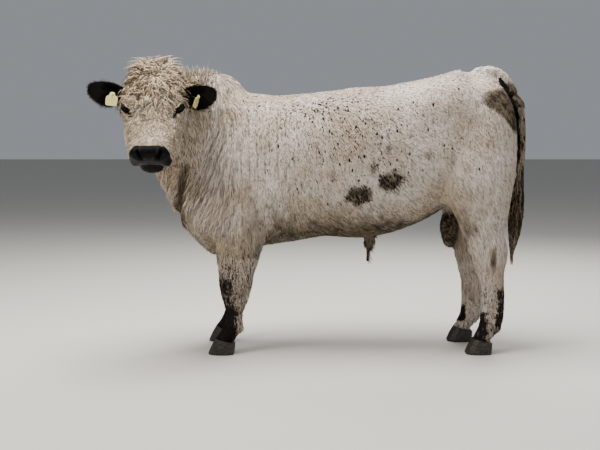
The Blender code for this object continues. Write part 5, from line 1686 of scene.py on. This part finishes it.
def curls(mesh, weight, material):
    """The mop between the ears: locks that wind, lie outwards from the middle and stand up a little at the top."""
    sets = (("mop_under", 3600, 31, 0.038, 0.0034, 0.0012, 3, 0.35, 0.2), ("mop_curls", 3900, 32, 0.058, 0.0042, 0.0082, 6, 0.66, 1.25), ("mop_small", 3200, 33, 0.034, 0.0032, 0.0060, 4, 0.55, 1.2),
            ("mop_wisps", 300, 34, 0.066, 0.0030, 0.0105, 8, 1.05, 1.2))
    for name, count, seed, length, width, radius, rings, rise, winding in sets:
        roots = Roots(mesh, weight if name != "mop_wisps" else weight * step(0.06 - to_head(coords(mesh))[:, 1], 0.0, 0.04), number(count), seed)
        rg = roots.rng
        q = to_head(roots.p)
        s, a, d = q.T
        n = roots.n
        out = unit(np.stack([s * 1.4, (a - 0.045) * 1.1, 0.0 * s], 1) + 1e-4) @ HEAD_M.T
        up = (step(0.02 - a, 0.0, 0.07) * (1.25 - 0.9 * step(np.abs(s), 0.030, 0.095)))[:, None]
        lock = np.sin(s * 95 + a * 40 + 0.7) + np.sin(a * 120 - s * 33 + 2.0) + np.sin((s + a) * 70 + d * 60)
        swirl = (0.42 * lock + rg.normal(0, 0.20, roots.count))[:, None]
        out = unit(out - n * np.einsum("ij,ij->i", out, n)[:, None])
        out = unit(out + np.cross(n, out) * swirl)
        start = unit(n * rise * np.clip(rg.normal(1, 0.3, roots.count), 0.3, 1.8)[:, None] + out * 0.85 * (1 - 0.45 * up) + np.array((0, 0, 0.9)) * up * rise)
        ln = length * np.clip(rg.normal(1, 0.28, roots.count), 0.5, 1.7) * (1 + 0.35 * up[:, 0])
        phase = 2.4 * np.sin(s * 60 - a * 85) + 1.6 * np.sin(a * 105 + s * 48 + 1.0) + rg.normal(0, 0.7, roots.count)
        turns = rg.uniform(0.75, 1.15, roots.count) * winding
        hand = np.where(np.sin(s * 52 + a * 64 + 0.5) + rg.normal(0, 0.3, roots.count) < 0, -1.0, 1.0)
        side = unit(np.cross(start, n + 1e-3))
        other = np.cross(side, start)
        path = [roots.p - n * 0.002]
        spine = roots.p.copy()
        cd = start.copy()
        size = radius * (0.6 + 0.7 * rg.random(roots.count))
        for k in range(1, rings + 1):
            t = k / rings
            cd = unit(cd + (np.array((0.0, 0.0, -1.0)) * (0.12 - 0.08 * up) + out * 0.16 - n * 0.16 * rise) * (6.0 / rings))
            spine = spine + cd * (ln / rings)[:, None]
            ang = phase + hand * turns * 2 * math.pi * t
            r = size * math.sin(math.pi * min(1, 0.15 + t * 0.80))
            lift = np.maximum(0.0, r * 0.9)
            path.append(spine + side * (r * np.cos(ang))[:, None] + other * (r * np.sin(ang))[:, None] + n * (lift * 0.5)[:, None])
        path = np.stack(path, 1)
        # the mop is pressed down a little where it would stand too high
        over = np.maximum(path[:, :, 2] - 1.352, 0.0)
        path[:, :, 2] -= over - 0.042 * np.tanh(over / 0.042)
        sd, u = frames(path, n)
        wd = width * np.clip(rg.normal(1, 0.25, roots.count), 0.5, 1.6) * 1.0
        mk = markings(roots.p, np.ones(roots.count))
        tone = streaks(roots.p, out, 0.022, 9) * 0.62 + 0.38 * rg.random(roots.count)
        tuft_mesh(name, path, sd, u, wd / 2, wd * 0.32, roots.p, roots.uv, np.clip((tone - 0.5) * 1.7 + 0.58, 0, 1), mk, material)


def crest(mesh, material):
    """Short upright tufts along the ridge of the neck."""
    p, n = coords(mesh), normals(mesh)
    ridge = (1 - head_weight(p)) * (0.10 + 0.90 * step(-p[:, 0], 0.40, 0.47)) * step(-p[:, 0], 0.28, 0.36) * step(n[:, 2], 0.35, 0.75) * step(p[:, 2], 1.14, 1.22)
    if ridge.max() <= 0:
        return
    roots = Roots(mesh, ridge, number(1000), 41)
    rg = roots.rng
    d = unit(roots.n + rg.normal(0, 0.28, (roots.count, 3)) + np.array((0.1, -0.15, 0.5)))
    ln = (0.012 + 0.013 * step(-roots.p[:, 0], 0.40, 0.48)) * np.clip(rg.normal(1, 0.40, roots.count), 0.4, 2.2)
    bend = unit(rg.normal(0, 1, (roots.count, 3)) + np.array((0.2, -0.5, -0.2)))
    path = [roots.p - roots.n * 0.002]
    for k in range(1, 5):
        t = k / 4
        path.append(roots.p + d * (ln * t)[:, None] + bend * (ln * 0.32 * t * t)[:, None])
    path = np.stack(path, 1)
    sd, u = frames(path, bend + 1e-3)
    wd = 0.0036 * np.clip(rg.normal(1, 0.25, roots.count), 0.5, 1.6)
    mk = markings(roots.p, np.zeros(roots.count))
    tuft_mesh("crest", path, sd, u, wd / 2, wd * 0.45, roots.p, roots.uv, rg.random(roots.count), mk, material)


def lashes(material, place_of):
    """A row of black lashes along each upper lid, and a sparse one below."""
    rg = np.random.default_rng(71)
    rows = []
    for side in (-1, 1):
        for lid, count, length in ((1, 60, 0.0125), (-1, 24, 0.006)):
            u = np.linspace(-0.92, 0.92, count) + rg.normal(0, 0.012, count)
            b = np.where(lid > 0, 0.42, 0.38) * np.maximum(1 - np.abs(u) ** 1.5, 0.0) ** (1 / 1.5) * lid
            e = unit(EYE_OUT + EYE_H * (u * 0.86)[:, None] * 1.05 + EYE_V * (b * 1.12)[:, None])
            root = EYE + e * (EYE_RADIUS + 0.0034)
            d = unit(EYE_OUT * 0.85 + EYE_V * (0.30 * lid) + EYE_H * (u * 0.55)[:, None] + rg.normal(0, 0.08, (count, 3)))
            ln = length * (0.65 + 0.45 * rg.random(count)) * (1 - 0.35 * np.abs(u))
            path = [root]
            for k in range(1, 4):
                t = k / 3
                path.append(root + d * (ln * t)[:, None] - EYE_V * ((0.30 if lid > 0 else 0.10) * ln * t * t)[:, None])
            path = np.stack(path, 1)
            path[:, :, 0] *= side
            flat = from_head(path.reshape(-1, 3)).reshape(path.shape)
            rows.append((flat, np.full(count, 0.00060)))
    path = np.concatenate([r[0] for r in rows])
    wd = np.concatenate([r[1] for r in rows])
    n = np.tile(HEAD_M @ EYE_V, (len(path), 1))
    sd, u = frames(path, n)
    mk = np.zeros((len(path), 4))
    mk[:, 0] = 1.0
    uv = place_of(path[:, 0])
    tuft_mesh("lashes", path, sd, u, wd, wd, path[:, 0], uv, np.full(len(path), 0.1), mk, material)


def switch(material, place_of):
    """Hair of the tail: short and close on the dock, long wavy locks at the end."""
    rg = np.random.default_rng(51)
    t_all = unit(np.gradient(TAIL_C, axis=0))
    total = len(TAIL_C)
    for name, count, z_lo, z_hi, length, width, rings, wave in (("hair_tail", 4200, 0.80, 1.19, 0.022, 0.0028, 2, 0.0), ("switch", 1500, 0.60, 0.90, 0.150, 0.0046, 6, 0.007),
                                                                ("switch_end", 700, 0.50, 0.64, 0.085, 0.0050, 6, 0.006)):
        m = number(count)
        ok = np.where((TAIL_C[:, 2] > z_lo) & (TAIL_C[:, 2] < z_hi))[0]
        i = rg.choice(ok, m)
        f = rg.random(m)
        j = np.minimum(i + 1, total - 1)
        c = TAIL_C[i] * (1 - f)[:, None] + TAIL_C[j] * f[:, None]
        r = TAIL_R[i] * (1 - f) + TAIL_R[j] * f
        thin = r * (1 - 0.45 * step(0.86 - c[:, 2], 0.0, 0.12)) - 0.0055
        t = t_all[i]
        a = rg.random(m) * 2 * math.pi
        s = unit(np.cross(t, (0.0, 1.0, 0.0)))
        u = np.cross(s, t)
        n = s * np.cos(a)[:, None] + u * np.sin(a)[:, None]
        root = c + n * thin[:, None]
        ln = length * np.clip(rg.normal(1, 0.22, m), 0.5, 1.5)
        phase, side = rg.random(m) * 2 * math.pi, np.cross(n, t)
        path = [root - n * 0.0015]
        rise = 0.35 + 0.75 * rg.random(m)
        for k in range(1, rings + 1):
            w = k / rings
            z = c[:, 2] - ln * w * 0.98
            idx = np.clip(np.searchsorted(-TAIL_C[:, 2], -z), 0, total - 1)
            here = np.stack([TAIL_C[idx, 0], TAIL_C[idx, 1], z], 1)
            if name == "hair_tail":
                out = thin + 0.0040 * w
            else:
                wide = np.maximum(TAIL_R[idx], 0.010)
                out = thin + (wide - thin) * math.sin(math.pi * 0.58 * min(w * 1.15, 1.0)) * rise
                out = np.where(z < TAIL_C[-1, 2] + 0.02, out * 0.6, out)
            path.append(here + n * out[:, None] + side * (wave * np.sin(phase + w * ln / 0.045 * 2 * math.pi) * w ** 0.6)[:, None])
        path = np.stack(path, 1)
        sd, up = frames(path, n)
        wd = width * np.clip(rg.normal(1, 0.25, m), 0.5, 1.6) * 1
        mk = tail_marks(root + rg.normal(0, 0.004, (m, 3)))
        if name != "hair_tail":
            mk[:, 0] = np.where(rg.random(m) < 0.15 + 0.6 * mk[:, 0], 0.95, 0.0)
            mk[:, 2] = 0.25 + 0.5 * rg.random(m)
        tuft_mesh(name, path, sd, up, wd / 2, wd * 0.45, root, place_of(root), rg.random(m), mk, material)


def ears(material):
    for name, (root, tip, face) in EARS.items():
        mesh, along, out, across = ear_shape(name, root, tip, face)
        unwrap(mesh)
        p = coords(mesh)
        marks = np.zeros((len(p), 4))
        marks[:, 0] = 0.95
        put_attributes(mesh, p, marks, np.full(len(p), 0.3), np.full(len(p), 0.3))
        n = normals(mesh)
        length = np.linalg.norm(np.array(tip) - np.array(root))
        t = (p - np.array(root)) @ along / length
        rim = np.abs((p - np.array(root)) @ across) / np.maximum(np.interp(t, EAR_T, EAR_HALF), 0.003)
        inside = (n @ out) > 0.2
        for kind, weight, count, ln, wd, rings, seed, lift in (
                ("short", np.where(inside, 0.6, 1.0), 4200, 0.011, 0.0016, 1, 61, 0.10),
                ("fringe", (np.clip((rim - 0.72) * 4, 0, 1) + 0.6 * step(t, 0.85, 0.95)), 1000, 0.012, 0.0014, 2, 62, 0.14),
                ("inside", np.where(inside, step(0.70 - t, 0, 0.3), 0.0), 500, 0.026, 0.0018, 4, 63, 0.40)):
            roots = Roots(mesh, weight, number(count), seed)
            rg = roots.rng
            away = (roots.p - np.array(root)) @ across
            d = unit(along * 0.9 + across * (np.sign(away) * (0.8 if kind != "short" else 0.2))[:, None] - np.array((0, 0, 0.35)) + rg.normal(0, 0.16, (roots.count, 3)))
            if kind != "fringe":
                d = unit(d - roots.n * np.einsum("ij,ij->i", d, roots.n)[:, None])
            length_each = ln * np.clip(rg.normal(1, 0.3, roots.count), 0.5, 1.6)
            path = lay(roots, d, length_each, lift * np.clip(rg.normal(1, 0.4, roots.count), 0.3, 2), rings, sink=0.0006, wave=0.0015 if rings > 2 else 0.0, wavelength=0.03)
            sd, u = frames(path, roots.n)
            w = wd * np.clip(rg.normal(1, 0.2, roots.count), 0.6, 1.5)
            mk = np.zeros((roots.count, 4))
            mk[:, 0] = 0.95
            tuft_mesh(f"{name}_{kind}", path, sd, u, w / 2, w * 0.45, roots.p, roots.uv, rg.random(roots.count), mk, material)
        add(name.replace("ear", "pinna"), mesh, material, [name])


FLESH = ["trunk", "neck", "head", "scrotum", "sheath"] + [f"{a}leg_{b}_{c}" for a in ("fore", "hind") for b in ("upper", "lower") for c in ("left", "right")]


def studio():
    n = Nodes("studio_floor")
    n.shader.inputs["Base Color"].default_value = (*linear(196, 193, 187), 1.0)
    n.shader.inputs["Roughness"].default_value = 0.9
    bm = bmesh.new()
    bmesh.ops.create_grid(bm, x_segments=1, y_segments=1, size=30.0)
    floor = put("studio_floor", from_bm(bm, "studio_floor"))
    floor.data.materials.append(n.mat)
    floor.location.z = -0.0005
    world = bpy.data.worlds.new("studio")
    bpy.context.scene.world = world
    world.use_nodes = True
    bg = world.node_tree.nodes["Background"]
    bg.inputs["Color"].default_value = (0.84, 0.88, 0.94, 1.0)
    bg.inputs["Strength"].default_value = 0.30
    for name, where, size, power, colour in (("top", (-0.6, -0.2, 5.0), 3.4, 372.0, (1.0, 0.98, 0.95)), ("key", (-3.6, -3.4, 3.6), 2.2, 90.0, (1.0, 0.96, 0.90)),
                                             ("fill", (3.6, -3.8, 2.2), 3.0, 30.0, (0.94, 0.97, 1.0)), ("rim", (1.4, 3.4, 3.6), 2.6, 120.0, (1.0, 0.98, 0.95))):
        light = bpy.data.lights.new(name, "AREA")
        light.energy, light.size, light.color = power, size, colour
        ob = bpy.data.objects.new(name, light)
        BULL.objects.link(ob)
        ob.location = where
        aim = Vector((0.0, 0.0, 0.7)) - Vector(where)
        ob.rotation_euler = aim.to_track_quat("-Z", "Y").to_euler()
    camera = bpy.data.cameras.new("camera")
    camera.lens, camera.sensor_width = 71.4, 36.0
    camera.clip_end = 100.0
    ob = bpy.data.objects.new("camera", camera)
    BULL.objects.link(ob)
    ob.location = (-0.06132, -5.57013, 1.08)
    ob.rotation_euler = (math.radians(90 - 4.9), 0.0, 0.0)
    bpy.context.scene.camera = ob
    bpy.context.scene.view_settings.view_transform = "AgX"
    bpy.context.scene.view_settings.look = "AgX - Medium High Contrast"


main()
for ob in list(WORK.objects):
    bpy.data.objects.remove(ob, do_unlink=True)
bpy.data.collections.remove(WORK)
